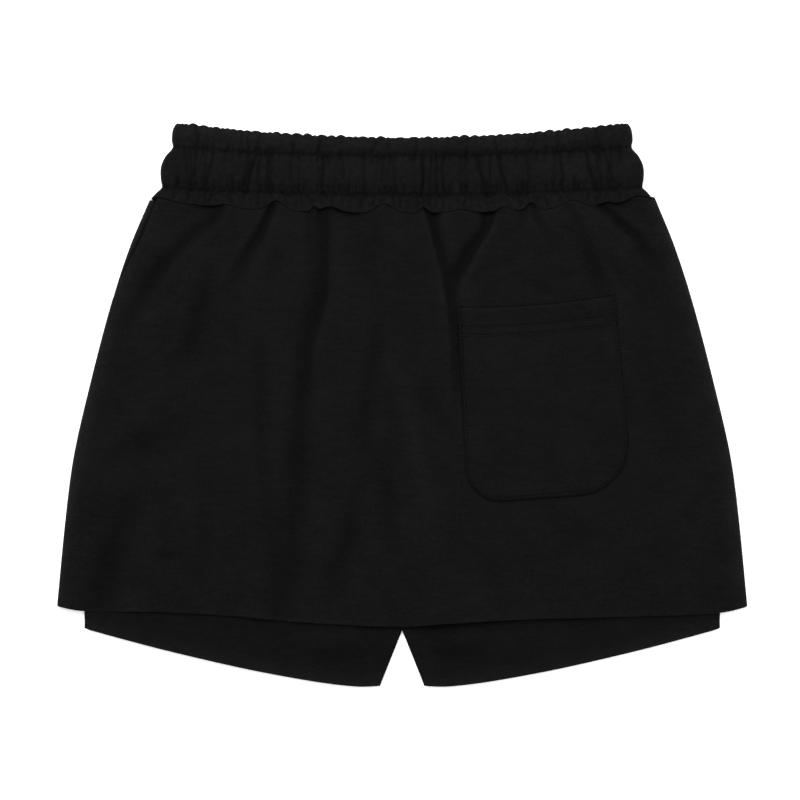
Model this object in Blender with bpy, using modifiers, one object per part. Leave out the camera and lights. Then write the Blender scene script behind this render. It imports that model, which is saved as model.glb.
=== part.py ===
"""A sweat skirt with shorts sewn inside it, laid flat on its front so that its back shows.

Metres, +Z up. It lies on z = 0, x runs across the garment and +y points to the waist. A panel is a
grid whose points are placed by a function of (across, down) and thickened to cloth. From below, the
layers are the skirt's front, the shorts' fronts, the shorts' backs, the skirt's back and the pocket.
They all end against the waistband, which is one flattened loop.
"""

import math
import random

import bmesh
import bpy
from mathutils import Vector

# ---------------------------------------------------------------- cloth and layers
CLOTH = 0.0014  # brushed sweatshirt knit
GAP = 0.0003  # clearance at seams and between layers
SHORTS_FRONT_REST = CLOTH + GAP  # undersides of the layers, from the skirt's front upwards
SHORTS_BACK_REST = SHORTS_FRONT_REST + CLOTH + GAP
BACK_REST = SHORTS_BACK_REST + CLOTH + GAP

# ---------------------------------------------------------------- skirt
SIDE_SEAM = (
    # y, half the skirt's width there, from the waist seam to the hem
    (0.1476, 0.1818),
    (0.1116, 0.1962),
    (0.0684, 0.2099),
    (0.0036, 0.2268),
    (-0.0396, 0.2365),
    (-0.0828, 0.2423),
    (-0.1445, 0.2484),
)
WAIST_SIDE = SIDE_SEAM[0][0]
HEM_SIDE, HEM_HALF = SIDE_SEAM[-1]
HEM_LINE = (
    # x, y of the back's raw-cut hem
    (-0.2484, -0.1443),
    (-0.2290, -0.1480),
    (-0.1800, -0.1480),
    (-0.1246, -0.1509),
    (-0.0727, -0.1555),
    (0.0000, -0.1586),
    (0.0346, -0.1562),
    (0.0914, -0.1534),
    (0.1483, -0.1519),
    (0.2268, -0.1508),
    (0.2484, -0.1446),
)
FRONT_HEM_LIFT = 0.0020  # the front's hem ends this much short of the back's
SIDE_ROLL = 0.0140  # the back's cloth rolls down to its side edge over this width
LOW_ROUND = 0.0030  # and the front's turns up to meet it over this one
SEAM_HEIGHT = 0.0026  # height of the garment's outermost line
SIDE_SEAM_GAP = 0.0005  # the back's edge lies this far from the front's
WAIST_SEAM_GAP = 0.0008  # and its top edge from the waistband, which has other facets
LOFT_WAIST = 0.0016  # how far the back stands off the shorts, just under the waist seam
LOFT_FULL = 0.0040  # over its upper half
LOFT_HEM = 0.0005  # and at its hem
LOFT_RISE = 0.0180  # the loft grows over this stretch below the waist seam
LOFT_FALL = 0.2000  # and fades over this one above the hem
HEM_WAVES = (
    # x, rise of the hem off the shorts, half width
    (-0.1650, 0.0009, 0.0240),
    (-0.0860, 0.0010, 0.0220),
    (-0.0120, 0.0018, 0.0200),
    (0.0460, 0.0016, 0.0190),
    (0.1180, 0.0008, 0.0260),
)
HEM_WAVE_REACH = 0.0500  # a wave fades over this distance up the skirt
SEAM_ARCHES = (
    # x, rise, half width: where gathered cloth pulls the waist seam up into an arch
    (-0.1238, 0.0022, 0.0045),
    (-0.0929, 0.0055, 0.0060),
    (-0.0550, 0.0020, 0.0050),
    (-0.0122, 0.0055, 0.0100),
    (0.0396, 0.0016, 0.0080),
    (0.0900, 0.0045, 0.0060),
    (0.1224, 0.0043, 0.0085),
    (0.1610, 0.0035, 0.0060),
)
FOLDS = (
    # start, middle and end of a trough in the back; its depth at each; its half width at both ends
    ((-0.1296, 0.1400), (-0.1706, 0.1037), (-0.2023, 0.0511), 0.0022, 0.0028, 0.0004, 0.0050, 0.0090),
    ((-0.0935, 0.1450), (-0.1094, 0.1145), (-0.1224, 0.0756), 0.0036, 0.0036, 0.0004, 0.0052, 0.0085),
    ((-0.1390, 0.0886), (-0.1500, 0.0300), (-0.1829, 0.0252), 0.0006, 0.0020, 0.0004, 0.0075, 0.0080),
    ((-0.0533, 0.1400), (-0.0560, 0.0700), (-0.0734, -0.0324), 0.0030, 0.0034, 0.0016, 0.0052, 0.0065),
    ((-0.0734, -0.0324), (-0.0770, -0.0680), (-0.0814, -0.1008), 0.0016, 0.0010, 0.0003, 0.0065, 0.0100),
    ((0.0209, 0.1370), (0.0295, 0.0900), (0.0355, 0.0036), 0.0036, 0.0038, 0.0006, 0.0056, 0.0056),
    ((0.0626, 0.1370), (0.0475, 0.1051), (0.0338, 0.0756), 0.0038, 0.0038, 0.0016, 0.0056, 0.0054),
    ((0.0929, 0.1430), (0.1000, 0.1224), (0.1102, 0.1109), 0.0026, 0.0016, 0.0003, 0.0052, 0.0070),
    ((0.1224, 0.1440), (0.1325, 0.1152), (0.1469, 0.0857), 0.0020, 0.0018, 0.0010, 0.0050, 0.0100),
    ((0.1462, 0.1450), (0.1692, 0.1202), (0.1886, 0.0792), 0.0030, 0.0030, 0.0004, 0.0052, 0.0105),
    ((-0.0194, 0.0540), (-0.0223, 0.0180), (-0.0288, -0.0288), 0.0004, 0.0012, 0.0003, 0.0080, 0.0080),
    ((-0.1613, -0.0223), (-0.1814, -0.0310), (-0.2066, -0.0410), 0.0004, 0.0012, 0.0003, 0.0110, 0.0110),
    ((-0.2045, -0.0800), (-0.2131, -0.1130), (-0.2200, -0.1440), 0.0004, 0.0014, 0.0010, 0.0080, 0.0080),
)
FOLD_SHOULDER = 0.3  # the cloth beside a trough stands proud by this share of its depth
FOLD_SHOULDER_AT = 1.9  # and this many half widths from its middle
FOLD_STEPS = 8
BACK_COLUMNS = 46
BACK_ROWS = 31
BACK_ROWS_BUNCH = 1.25  # above 1, the rows are closer together towards the waist
FRONT_COLUMNS = 9
FRONT_ROWS_SHARED = 12  # the front has the back's rows along the turned seam,
FRONT_ROW_STEP = 3  # then every third one
ROLL_SHARES = (0.3, 0.58, 0.82, 0.95, 1.0)  # places round a side, closest together at its seam

# On its left the side seam is pulled round onto the back, so that a strip of the front shows there.
STRIP_WIDTH = 0.0046
STRIP_END = 0.0700  # y where the seam is back on the edge
STRIP_TAPER = 0.0280

# ---------------------------------------------------------------- waistband
# A strip folded over elastic and stitched into a narrow and a wide channel, with a flange below.
BAND_LINES = {
    # name: y at the centre, y at the sides, half width there, power of the bow between
    "seam": (0.1378, WAIST_SIDE, SIDE_SEAM[0][1], 2.4),
    "lower_stitch": (0.1512, 0.1566, 0.1734, 2.0),
    "upper_stitch": (0.1786, 0.1850, 0.1652, 2.0),
    "top": (0.1915, 0.2026, 0.1652, 2.0),
}
BAND_ROWS = (
    # from line, to line, share of the way, half width, height of the back, share of the gathers
    ("seam", "lower_stitch", 0.00, 0.1812, 0.0076, 0.5),
    ("seam", "lower_stitch", 0.50, 0.1765, 0.0084, 0.8),
    ("lower_stitch", "upper_stitch", 0.00, 0.1728, 0.0074, 0.5),
    ("lower_stitch", "upper_stitch", 0.22, 0.1736, 0.0094, 1.0),
    ("lower_stitch", "upper_stitch", 0.50, 0.1734, 0.0100, 1.0),
    ("lower_stitch", "upper_stitch", 0.78, 0.1700, 0.0094, 1.0),
    ("upper_stitch", "top", 0.00, 0.1652, 0.0076, 0.5),
    ("upper_stitch", "top", 0.30, 0.1656, 0.0091, 1.0),
    ("upper_stitch", "top", 0.70, 0.1652, 0.0090, 1.0),
    ("upper_stitch", "top", 0.94, 0.1634, 0.0078, 0.8),
    ("upper_stitch", "top", 1.00, 0.1622, 0.0062, 0.4),
)
SLIT_ROWS = (
    # the same for the slit inside the band, from its mouth at the top down to the waist seam
    ("upper_stitch", "top", 0.90, 0.1590),
    ("lower_stitch", "upper_stitch", 0.50, 0.1690),
    ("lower_stitch", "upper_stitch", 0.00, 0.1686),
    ("seam", "lower_stitch", 0.00, 0.1768),
)
SLIT_LOW = 0.0040
SLIT_HIGH = 0.0046
SLIT_ROLL = 0.0010
BAND_ROLL = 0.0046  # how far in from its end the band's cloth turns round
BAND_TURNS = 4
BAND_FRONT_STATIONS = 24
BAND_HALF = BAND_ROWS[4][3] - BAND_ROLL  # half of the gathered stretch
GATHER_PITCH = 0.0088
GATHER_JITTER = 0.28  # share of the pitch
GATHER_DEPTH = (0.0006, 0.0013)
GATHER_HALF = 0.0019
GATHER_FLANK = 1.15  # half widths from a valley to the station on its flank
GATHER_SEED = 7
GATHER_CREST = 0.0010  # least distance between two stations
PLEAT_ROOM = 0.6  # a named pleat takes the place of the valleys nearer than this share of the pitch
TOP_RUFFLE = 0.0006  # the top edge stands this much higher between the gathers
PLEATS = (
    # x on the wide channel, depth: pleats that are plainly deeper than the gathers about them
    (-0.1404, 0.0018),
    (-0.1068, 0.0026),
    (-0.0569, 0.0024),
    (-0.0108, 0.0018),
    (0.0144, 0.0030),
    (0.0425, 0.0016),
    (0.0562, 0.0028),
    (0.0727, 0.0020),
    (0.1145, 0.0022),
    (0.1411, 0.0020),
)

# ---------------------------------------------------------------- shorts
SHORTS_INSET_WAIST = 0.0125  # how far inside the skirt's side the shorts' side lies, at the waist
SHORTS_INSET_HEM = 0.0202  # and at the skirt's hem
SHORTS_HEM_HALF = 0.2282
SHORTS_HEM_SIDE = -0.1606
SHORTS_HEM_LOW = -0.2020
SHORTS_HEM_LOW_X = 0.0300  # the hem is lowest here, and rises to the side seam
SHORTS_HEM_BOW = 1.45
SHORTS_FRONT_LIFT = 0.0015  # the front's hem ends this much short of the back's
CROTCH_Y = -0.1613
INSEAM_SLOPE = 0.397  # how far the inseam runs out for each metre down
INSEAM_CORNER = 0.0025  # the hem's rounded corner at the inseam
HEM_CLEAR = 0.0008  # the shorts pass the hem of the skirt's front by this much,
DRAPE_OFF = 0.0120  # and then come down onto the surface over this stretch,
DRAPE_SHARE = 0.6  # or over this share of what is left of the leg, where that is less
LEG_COLUMNS = 9
LEG_COLUMNS_BUNCH = 1.3  # above 1, they are closer together towards the inseam
LEG_ROWS = (0, 0.25, 0.5, 0.75, 1, 4 / 3, 5 / 3, 2, 7 / 3, 8 / 3, 3)  # as leg_line counts them

# ---------------------------------------------------------------- pocket
POCKET_TOP = Vector((0.0953, 0.0750))  # middle of the pocket's mouth
POCKET_TILT = math.radians(4.4)
POCKET_MOUTH = 0.1145
POCKET_FOOT = 0.1185
POCKET_DEEP = 0.1430
POCKET_CORNERS = {-1: 0.0250, 1: 0.0380}  # radius on each side
POCKET_HEM = 0.0205  # depth of its folded hem
POCKET_HEM_WALL = 0.0022
POCKET_COLUMNS = 17
POCKET_ROWS = 7
POCKET_CORNER_TURNS = (20, 40, 58, 72, 83, 90)  # rows round the larger corner, in degrees
POCKET_OFF = 0.0008  # clearance to the back, whose facets differ from the pocket's

SKIRT_BLACK = (0.0094, 0.0094, 0.0096, 1.0)
BAND_BLACK = (0.0090, 0.0090, 0.0092, 1.0)
SHORTS_BLACK = (0.0076, 0.0076, 0.0078, 1.0)
POCKET_BLACK = (0.0098, 0.0098, 0.0100, 1.0)
CLOTH_ROUGHNESS = 0.95
SHARP_EDGE = math.radians(50)  # edges that turn more than this are shaded sharp
QUARTER = math.pi / 2


# ---------------------------------------------------------------- small tools
def clamp(value, low=0.0, high=1.0):
    return max(low, min(high, value))


def mix(a, b, share):
    return a + (b - a) * share


def ease(share):
    """A smooth step from 0 to 1."""
    share = clamp(share)
    return share * share * (3 - 2 * share)


def evenly(count, low=0.0, high=1.0):
    return [mix(low, high, k / (count - 1)) for k in range(count)]


def bump(distance, half):
    return math.exp(-((distance / half) ** 2))


def curve_through(table, at):
    """The value at a place on a smooth curve through rows of (place, value)."""
    rows = sorted(table)
    at = clamp(at, rows[0][0], rows[-1][0])
    k = next(i for i in range(1, len(rows)) if at <= rows[i][0]) - 1
    slopes = []
    for i in (k, k + 1):
        before, after = rows[max(i - 1, 0)], rows[min(i + 1, len(rows) - 1)]
        slopes.append((after[1] - before[1]) / (after[0] - before[0]))
    (at0, value0), (at1, value1) = rows[k], rows[k + 1]
    length = at1 - at0
    t = (at - at0) / length
    return (
        (2 * t**3 - 3 * t**2 + 1) * value0
        + (t**3 - 2 * t**2 + t) * length * slopes[0]
        + (3 * t**2 - 2 * t**3) * value1
        + (t**3 - t**2) * length * slopes[1]
    )


# ---------------------------------------------------------------- the garment's lines
def band_line(name, x):
    centre, side, half, power = BAND_LINES[name]
    return centre + (side - centre) * (abs(x) / half) ** power


def waist_seam(x):
    """The waist seam, without its arches."""
    return band_line("seam", x)


def skirt_half(y):
    return curve_through(SIDE_SEAM, y)


def seam_arch(x):
    """How far gathers pull the waist seam up: straight between the columns of the skirt's back, so
    that the waistband meets it all along."""
    pitch = 2 * (skirt_half(WAIST_SIDE) - SIDE_ROLL) / (BACK_COLUMNS - 1)
    column = x / pitch + (BACK_COLUMNS - 1) / 2
    before, after = (
        sum(rise * bump((k - (BACK_COLUMNS - 1) / 2) * pitch - at, half) for at, rise, half in SEAM_ARCHES)
        for k in (math.floor(column), math.floor(column) + 1)
    )
    return mix(before, after, column % 1)


def skirt_hem(x):
    return curve_through(HEM_LINE, x)


def side_y(down):
    return mix(WAIST_SIDE - GAP, HEM_SIDE, down)


def back_line(x, down):
    """y at x of a line across the back, from 0 at the waist seam to 1 at the hem."""
    return mix(waist_seam(x) + seam_arch(x) - WAIST_SEAM_GAP, skirt_hem(x), down)


def front_line(x, down):
    return mix(waist_seam(x) - GAP, skirt_hem(x) + FRONT_HEM_LIFT, down)


def bezier(start, middle, end, share):
    """A point on the curve that passes through the middle point halfway."""
    bend = 2 * Vector(middle) - (Vector(start) + Vector(end)) / 2
    return (1 - share) ** 2 * Vector(start) + 2 * share * (1 - share) * bend + share**2 * Vector(end)


def fold_depth(place, fold):
    """How far one trough lowers the cloth at a place; below zero on its shoulders."""
    start, middle, end, deep_start, deep_middle, deep_end, half_start, half_end = fold
    nearest, share = 1.0, 0.0
    before = Vector(start)
    for step in range(1, FOLD_STEPS + 1):
        after = bezier(start, middle, end, step / FOLD_STEPS)
        run = after - before
        along = clamp((place - before).dot(run) / run.length_squared)
        away = (place - before - run * along).length
        if away < nearest:
            nearest, share = away, (step - 1 + along) / FOLD_STEPS
        before = after
    if share < 0.5:
        deep = mix(deep_start, deep_middle, 2 * share)
    else:
        deep = mix(deep_middle, deep_end, 2 * share - 1)
    widths = nearest / mix(half_start, half_end, share)
    return deep * (bump(widths, 1) - FOLD_SHOULDER * bump(widths - FOLD_SHOULDER_AT, 1))


def back_crown(x, y):
    """Height of the back's outer face, before it rolls down to the side seams."""
    above_hem = y - skirt_hem(x)
    loft = mix(LOFT_WAIST, LOFT_FULL, ease((waist_seam(x) - y) / LOFT_RISE))
    loft = mix(LOFT_HEM, loft, ease(above_hem / LOFT_FALL))
    loft += (1 - ease(above_hem / HEM_WAVE_REACH)) * sum(
        rise * bump(x - at, half) for at, rise, half in HEM_WAVES
    )
    loft -= sum(fold_depth(Vector((x, y)), fold) for fold in FOLDS)
    return BACK_REST + CLOTH + max(loft, 0.0)


def side_round(turn, crown, seam_height=SEAM_HEIGHT):
    """The side's round: how far in from the side, and how high.

    It turns from -90 degrees on the surface, through 0 at its outermost, to 90 at the crown."""
    if turn < 0:
        return LOW_ROUND * (1 - math.cos(turn)), seam_height * (1 + math.sin(turn))
    return SIDE_ROLL * (1 - math.cos(turn)), mix(seam_height, crown, math.sin(turn))


def seam_turn(side, y):
    """Where on that round the side seam lies: at 0, or further round at the top of the left side."""
    if side > 0:
        return 0.0
    width = STRIP_WIDTH * ease((y - STRIP_END) / STRIP_TAPER)
    return math.acos(1 - width / SIDE_ROLL)


# ---------------------------------------------------------------- making a piece
def add_piece(name, bm, material):
    mesh = bpy.data.meshes.new(name)
    bm.to_mesh(mesh)
    bm.free()
    mesh.materials.append(material)
    mesh.shade_smooth()
    mesh.set_sharp_from_angle(angle=SHARP_EDGE)
    piece = bpy.data.objects.new(name, mesh)
    garment.objects.link(piece)
    return piece


def cloth_panel(name, across, down, place, material, inward=False):
    """A panel: each point of a grid, across[column] and down[row], is put where `place` says.

    The cloth's thickness goes up from there, or into the garment below it."""
    bm = bmesh.new()
    bmesh.ops.create_grid(bm, x_segments=len(across) - 1, y_segments=len(down) - 1, size=0.5)
    for vert in bm.verts:
        column = round((0.5 + vert.co.x) * (len(across) - 1))
        row = round((0.5 - vert.co.y) * (len(down) - 1))
        vert.co = place(across[column], down[row])
    panel = add_piece(name, bm, material)
    wall = panel.modifiers.new("cloth", "SOLIDIFY")
    wall.thickness = CLOTH
    wall.offset = -1 if inward else 1
    return panel


def side_columns(count):
    """Places across a panel: -1 to 1 between its side rounds, and on to -2 and 2 at the side seams."""
    turned = [1 + share for share in ROLL_SHARES]
    return [-place for place in reversed(turned)] + evenly(count, -1, 1) + turned


def back_rows():
    return [share**BACK_ROWS_BUNCH for share in evenly(BACK_ROWS)]


def skirt_back():
    def place(across, down):
        side = math.copysign(1, across)
        half = skirt_half(side_y(down))
        x = clamp(across, -1, 1) * (half - SIDE_ROLL)
        z = back_crown(x, back_line(x, down))
        if abs(across) > 1:
            start = seam_turn(side, side_y(down)) + SIDE_SEAM_GAP / SIDE_ROLL
            turn = mix(QUARTER, start, abs(across) - 1)
            inward, z = side_round(turn, z, SEAM_HEIGHT + SIDE_SEAM_GAP)
            x = side * (half - inward)
        return Vector((x, back_line(x, down), z))

    columns = side_columns(BACK_COLUMNS)
    return cloth_panel("skirt_back", columns, back_rows(), place, skirt_cloth, inward=True)


def skirt_front():
    def place(across, down):
        side = math.copysign(1, across)
        half = skirt_half(side_y(down))
        x, z = clamp(across, -1, 1) * (half - LOW_ROUND), 0.0
        if abs(across) > 1:
            roll_x = side * (half - SIDE_ROLL)
            crown = back_crown(roll_x, back_line(roll_x, down))
            turn = mix(-QUARTER, seam_turn(side, side_y(down)), abs(across) - 1)
            inward, z = side_round(turn, crown)
            x = side * (half - inward)
        return Vector((x, front_line(x, down), z))

    rows = back_rows()
    down = rows[:FRONT_ROWS_SHARED] + rows[FRONT_ROWS_SHARED::FRONT_ROW_STEP]
    return cloth_panel("skirt_front", side_columns(FRONT_COLUMNS), down, place, skirt_cloth)


def shorts_side(y):
    """Half the shorts' width at a height y."""
    if y < HEM_SIDE:
        share = (HEM_SIDE - y) / (HEM_SIDE - SHORTS_HEM_SIDE)
        return mix(HEM_HALF - SHORTS_INSET_HEM, SHORTS_HEM_HALF, share)
    share = (WAIST_SIDE - y) / (WAIST_SIDE - HEM_SIDE)
    return skirt_half(y) - mix(SHORTS_INSET_WAIST, SHORTS_INSET_HEM, share)


def shorts_hem(x):
    """The leg's raw-cut hem, rounded off at the inseam."""
    corner = (CROTCH_Y - SHORTS_HEM_LOW) * INSEAM_SLOPE
    rise = INSEAM_CORNER * clamp(1 - (x - corner) / (SHORTS_HEM_LOW_X - corner)) ** 2
    out = clamp((x - SHORTS_HEM_LOW_X) / (SHORTS_HEM_HALF - SHORTS_HEM_LOW_X))
    return mix(SHORTS_HEM_LOW, SHORTS_HEM_SIDE, out**SHORTS_HEM_BOW) + rise


def leg_line(x, down, lift):
    """y at x of a line across a leg: 0 is the waist seam, 1 is just past the hem of the skirt's
    front, 2 is where the leg lies on the surface, and 3 is its own hem, raised by `lift`."""
    past_skirt = skirt_hem(x) + FRONT_HEM_LIFT - HEM_CLEAR
    hem = shorts_hem(abs(x)) + lift
    landed = past_skirt - min(DRAPE_OFF, DRAPE_SHARE * (past_skirt - hem))
    stops = (waist_seam(x) - GAP, past_skirt, landed, hem)
    k = min(int(down), 2)
    return mix(stops[k], stops[k + 1], down - k)


def shorts_panel(name, side, rest, lift):
    """One leg's front or back; `rest` is how high its underside lies on the layers below."""

    def place(across, down):
        inseam_y = leg_line(0.0, down, lift)
        inner = GAP / 2 + max(CROTCH_Y - inseam_y, 0.0) * INSEAM_SLOPE
        outer = shorts_side(leg_line(side * SHORTS_HEM_HALF, down, lift))
        x = side * mix(inner, outer, across)
        z = rest - SHORTS_FRONT_REST * ease(down - 1)
        return Vector((x, leg_line(x, down, lift), z))

    across = [share**LEG_COLUMNS_BUNCH for share in evenly(LEG_COLUMNS)]
    if side < 0:
        across.reverse()
    return cloth_panel(name, across, LEG_ROWS, place, shorts_cloth)


def pocket_reach(side, down):
    """How far the pocket reaches to one side, at a depth below its mouth."""
    radius = POCKET_CORNERS[side]
    past = clamp(down - (POCKET_DEEP - radius), 0.0, radius)
    return mix(POCKET_MOUTH, POCKET_FOOT, down / POCKET_DEEP) / 2 - radius + math.sqrt(radius**2 - past**2)


def back_pocket():
    """A patch made from the back's own surface, moved out."""
    foot = Vector((math.sin(POCKET_TILT), -math.cos(POCKET_TILT)))
    right = Vector((math.cos(POCKET_TILT), math.sin(POCKET_TILT)))

    def place(across, down):
        reach = pocket_reach(1 if across > 0 else -1, down)
        x, y = POCKET_TOP + right * across * reach + foot * down
        return Vector((x, y, back_crown(x, y) + POCKET_OFF))

    radius = max(POCKET_CORNERS.values())
    straight = POCKET_DEEP - radius
    down = [0.0, POCKET_HEM - CLOTH, POCKET_HEM]
    down += evenly(POCKET_ROWS, POCKET_HEM, straight)[1:]
    down += [straight + radius * math.sin(math.radians(turn)) for turn in POCKET_CORNER_TURNS]
    pocket = cloth_panel("back_pocket", evenly(POCKET_COLUMNS, -1, 1), down, place, pocket_cloth)

    hem = pocket.vertex_groups.new(name="hem")
    in_hem = [
        vert.index
        for vert in pocket.data.vertices
        if (vert.co.xy - POCKET_TOP).dot(foot) < POCKET_HEM - CLOTH / 2
    ]
    hem.add(in_hem, 1.0, "REPLACE")
    wall = pocket.modifiers["cloth"]
    wall.vertex_group = hem.name
    wall.thickness = POCKET_HEM_WALL
    wall.thickness_vertex_group = CLOTH / POCKET_HEM_WALL
    return pocket


# ---------------------------------------------------------------- waistband
def gathers():
    """The band's valleys as (x, depth): an uneven run, with the named pleats among them."""
    draw = random.Random(GATHER_SEED)
    count = int(2 * BAND_HALF / GATHER_PITCH)
    pitch = 2 * BAND_HALF / count
    valleys = []
    for k in range(count):
        x = -BAND_HALF + (k + 0.5 + draw.uniform(-GATHER_JITTER, GATHER_JITTER)) * pitch
        valleys.append((x, draw.uniform(*GATHER_DEPTH)))
    for at, deep in PLEATS:
        valleys = [valley for valley in valleys if abs(valley[0] - at) > PLEAT_ROOM * GATHER_PITCH]
        valleys.append((at, deep))
    return sorted(valleys)


def gather_depth(x, valleys):
    return sum(deep * bump(x - at, GATHER_HALF) for at, deep in valleys)


def band_stations(valleys):
    """Places across the band's back, -1 to 1: each valley, its two flanks and the crest after it."""
    places = [-BAND_HALF, BAND_HALF]
    for at, _ in valleys:
        places += [at - GATHER_FLANK * GATHER_HALF, at, at + GATHER_FLANK * GATHER_HALF]
    for (at, _), (after, _) in zip(valleys, valleys[1:]):
        places.append((at + after) / 2)
    kept = [-1.0]
    for place in sorted(places):
        if kept[-1] + GATHER_CREST / BAND_HALF < place / BAND_HALF <= 1:
            kept.append(place / BAND_HALF)
    return kept


def band_ring(places, half, roll, low, high, row_y, sunk, arched):
    """One closed row round the flattened band: its back, its right end, its front, its left end.

    `row_y` gives a row's y at x, `sunk` how far a gather lowers a place of the back, and `arched` how
    far the row is pulled up there."""
    flat = half - roll
    middle, deep = (low + high) / 2, (high - low) / 2
    back = [Vector((p * flat, row_y(p * flat) + arched(p), high - sunk(p))) for p in places]
    turns = [math.pi * k / (BAND_TURNS + 1) for k in range(1, BAND_TURNS + 1)]
    right_end = []
    for turn in turns:
        x = flat + roll * math.sin(turn)
        right_end.append(Vector((x, row_y(x), middle + deep * math.cos(turn))))
    front = [Vector((x, row_y(x), low)) for x in evenly(BAND_FRONT_STATIONS, flat, -flat)]
    left_end = [Vector((-point.x, point.y, point.z)) for point in reversed(right_end)]
    return back + right_end + front + left_end


def waistband():
    """Rings up the band's outside, then down the slit inside it, joined into one closed loop."""
    valleys = gathers()
    places = band_stations(valleys)
    deepest = max(deep for _, deep in valleys)
    rings = []
    for start, end, share, half, high, gathered in BAND_ROWS:
        at_seam = (1 - share) if start == "seam" else 0.0
        at_top = share if end == "top" else 0.0

        def row_y(x):
            return mix(band_line(start, x), band_line(end, x), share)

        def sunk(p):
            return gathered * gather_depth(p * BAND_HALF, valleys)

        def arched(p):
            ruffle = TOP_RUFFLE * (1 - gather_depth(p * BAND_HALF, valleys) / deepest)
            return at_seam * seam_arch(p * (half - BAND_ROLL)) + at_top * ruffle * (1 - p * p)

        rings.append(band_ring(places, half, BAND_ROLL, 0.0, high, row_y, sunk, arched))
    for start, end, share, half in SLIT_ROWS:

        def row_y(x):
            return mix(band_line(start, x), band_line(end, x), share)

        def arched(p):
            return seam_arch(p * (half - SLIT_ROLL)) if start == "seam" else 0.0

        rings.append(
            band_ring(places, half, SLIT_ROLL, SLIT_LOW, SLIT_HIGH, row_y, lambda p: 0.0, arched)
        )

    bm = bmesh.new()
    made = [[bm.verts.new(point) for point in ring] for ring in rings]
    for lower, upper in zip(made, made[1:] + made[:1]):
        for k, vert in enumerate(lower):
            after = (k + 1) % len(lower)
            bm.faces.new((vert, lower[after], upper[after], upper[k]))
    bmesh.ops.recalc_face_normals(bm, faces=bm.faces)
    return add_piece("waistband", bm, band_cloth)


def cloth_material(name, colour):
    material = bpy.data.materials.new(name)
    material.use_nodes = True
    surface = material.node_tree.nodes["Principled BSDF"]
    surface.inputs["Base Color"].default_value = colour
    surface.inputs["Roughness"].default_value = CLOTH_ROUGHNESS
    surface.inputs["Metallic"].default_value = 0.0
    return material


for thing in list(bpy.data.objects):
    bpy.data.objects.remove(thing)

garment = bpy.data.collections.new("sweat_skirt")
bpy.context.scene.collection.children.link(garment)
skirt_cloth = cloth_material("skirt_fleece", SKIRT_BLACK)
band_cloth = cloth_material("waistband_fleece", BAND_BLACK)
shorts_cloth = cloth_material("shorts_fleece", SHORTS_BLACK)
pocket_cloth = cloth_material("pocket_fleece", POCKET_BLACK)

skirt_front()
for side, word in ((-1, "left"), (1, "right")):
    shorts_panel(f"shorts_front_{word}", side, SHORTS_FRONT_REST, SHORTS_FRONT_LIFT)
    shorts_panel(f"shorts_back_{word}", side, SHORTS_BACK_REST, 0.0)
skirt_back()
back_pocket()
waistband()
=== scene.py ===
# %% [markdown]
# # A sweat skirt with inner shorts, laid flat with its back up
#
# The real garment is cut from a black brushed sweatshirt knit: a gathered waistband over elastic, an
# A-line skirt with a raw-cut hem, one patch pocket, and a pair of raw-cut shorts sewn inside. This
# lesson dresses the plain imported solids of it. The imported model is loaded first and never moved: it
# is the frame that every piece of cloth has to lie in.

# %% Load the frame
import math

import bpy
import numpy as np
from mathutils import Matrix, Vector
from mathutils.bvhtree import BVHTree


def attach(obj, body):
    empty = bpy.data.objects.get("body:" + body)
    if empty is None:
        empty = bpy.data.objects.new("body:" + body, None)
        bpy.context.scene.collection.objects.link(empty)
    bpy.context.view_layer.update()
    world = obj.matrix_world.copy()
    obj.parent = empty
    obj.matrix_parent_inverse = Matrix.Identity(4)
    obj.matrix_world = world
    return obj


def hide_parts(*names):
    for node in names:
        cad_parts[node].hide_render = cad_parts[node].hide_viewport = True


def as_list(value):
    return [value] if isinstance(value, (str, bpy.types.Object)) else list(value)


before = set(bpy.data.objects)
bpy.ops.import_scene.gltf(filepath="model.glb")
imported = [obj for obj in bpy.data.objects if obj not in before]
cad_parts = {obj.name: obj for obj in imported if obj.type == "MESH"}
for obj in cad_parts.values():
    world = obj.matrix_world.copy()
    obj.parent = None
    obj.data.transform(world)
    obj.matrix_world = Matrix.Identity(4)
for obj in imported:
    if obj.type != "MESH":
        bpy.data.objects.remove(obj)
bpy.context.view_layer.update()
print("nodes:", ", ".join(sorted(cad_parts)))

# %% [markdown]
# ## Sizes
#
# The garment is symmetric in outline, so a side seam is a short table of half widths, and the hem and
# the waist seam are curves across it. They are the sizes of the solids, to a millimetre or two. A
# smooth curve through each table gives every value between its rows.

# %% The garment's driving sizes
CLOTH = 0.0014  # thickness of the knit
GAP = 0.0003  # clearance between two pieces
SHORTS_FRONT_REST = CLOTH + GAP  # height of the underside of each layer over the skirt's front
SHORTS_BACK_REST = SHORTS_FRONT_REST + CLOTH + GAP
BACK_REST = SHORTS_BACK_REST + CLOTH + GAP

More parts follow.
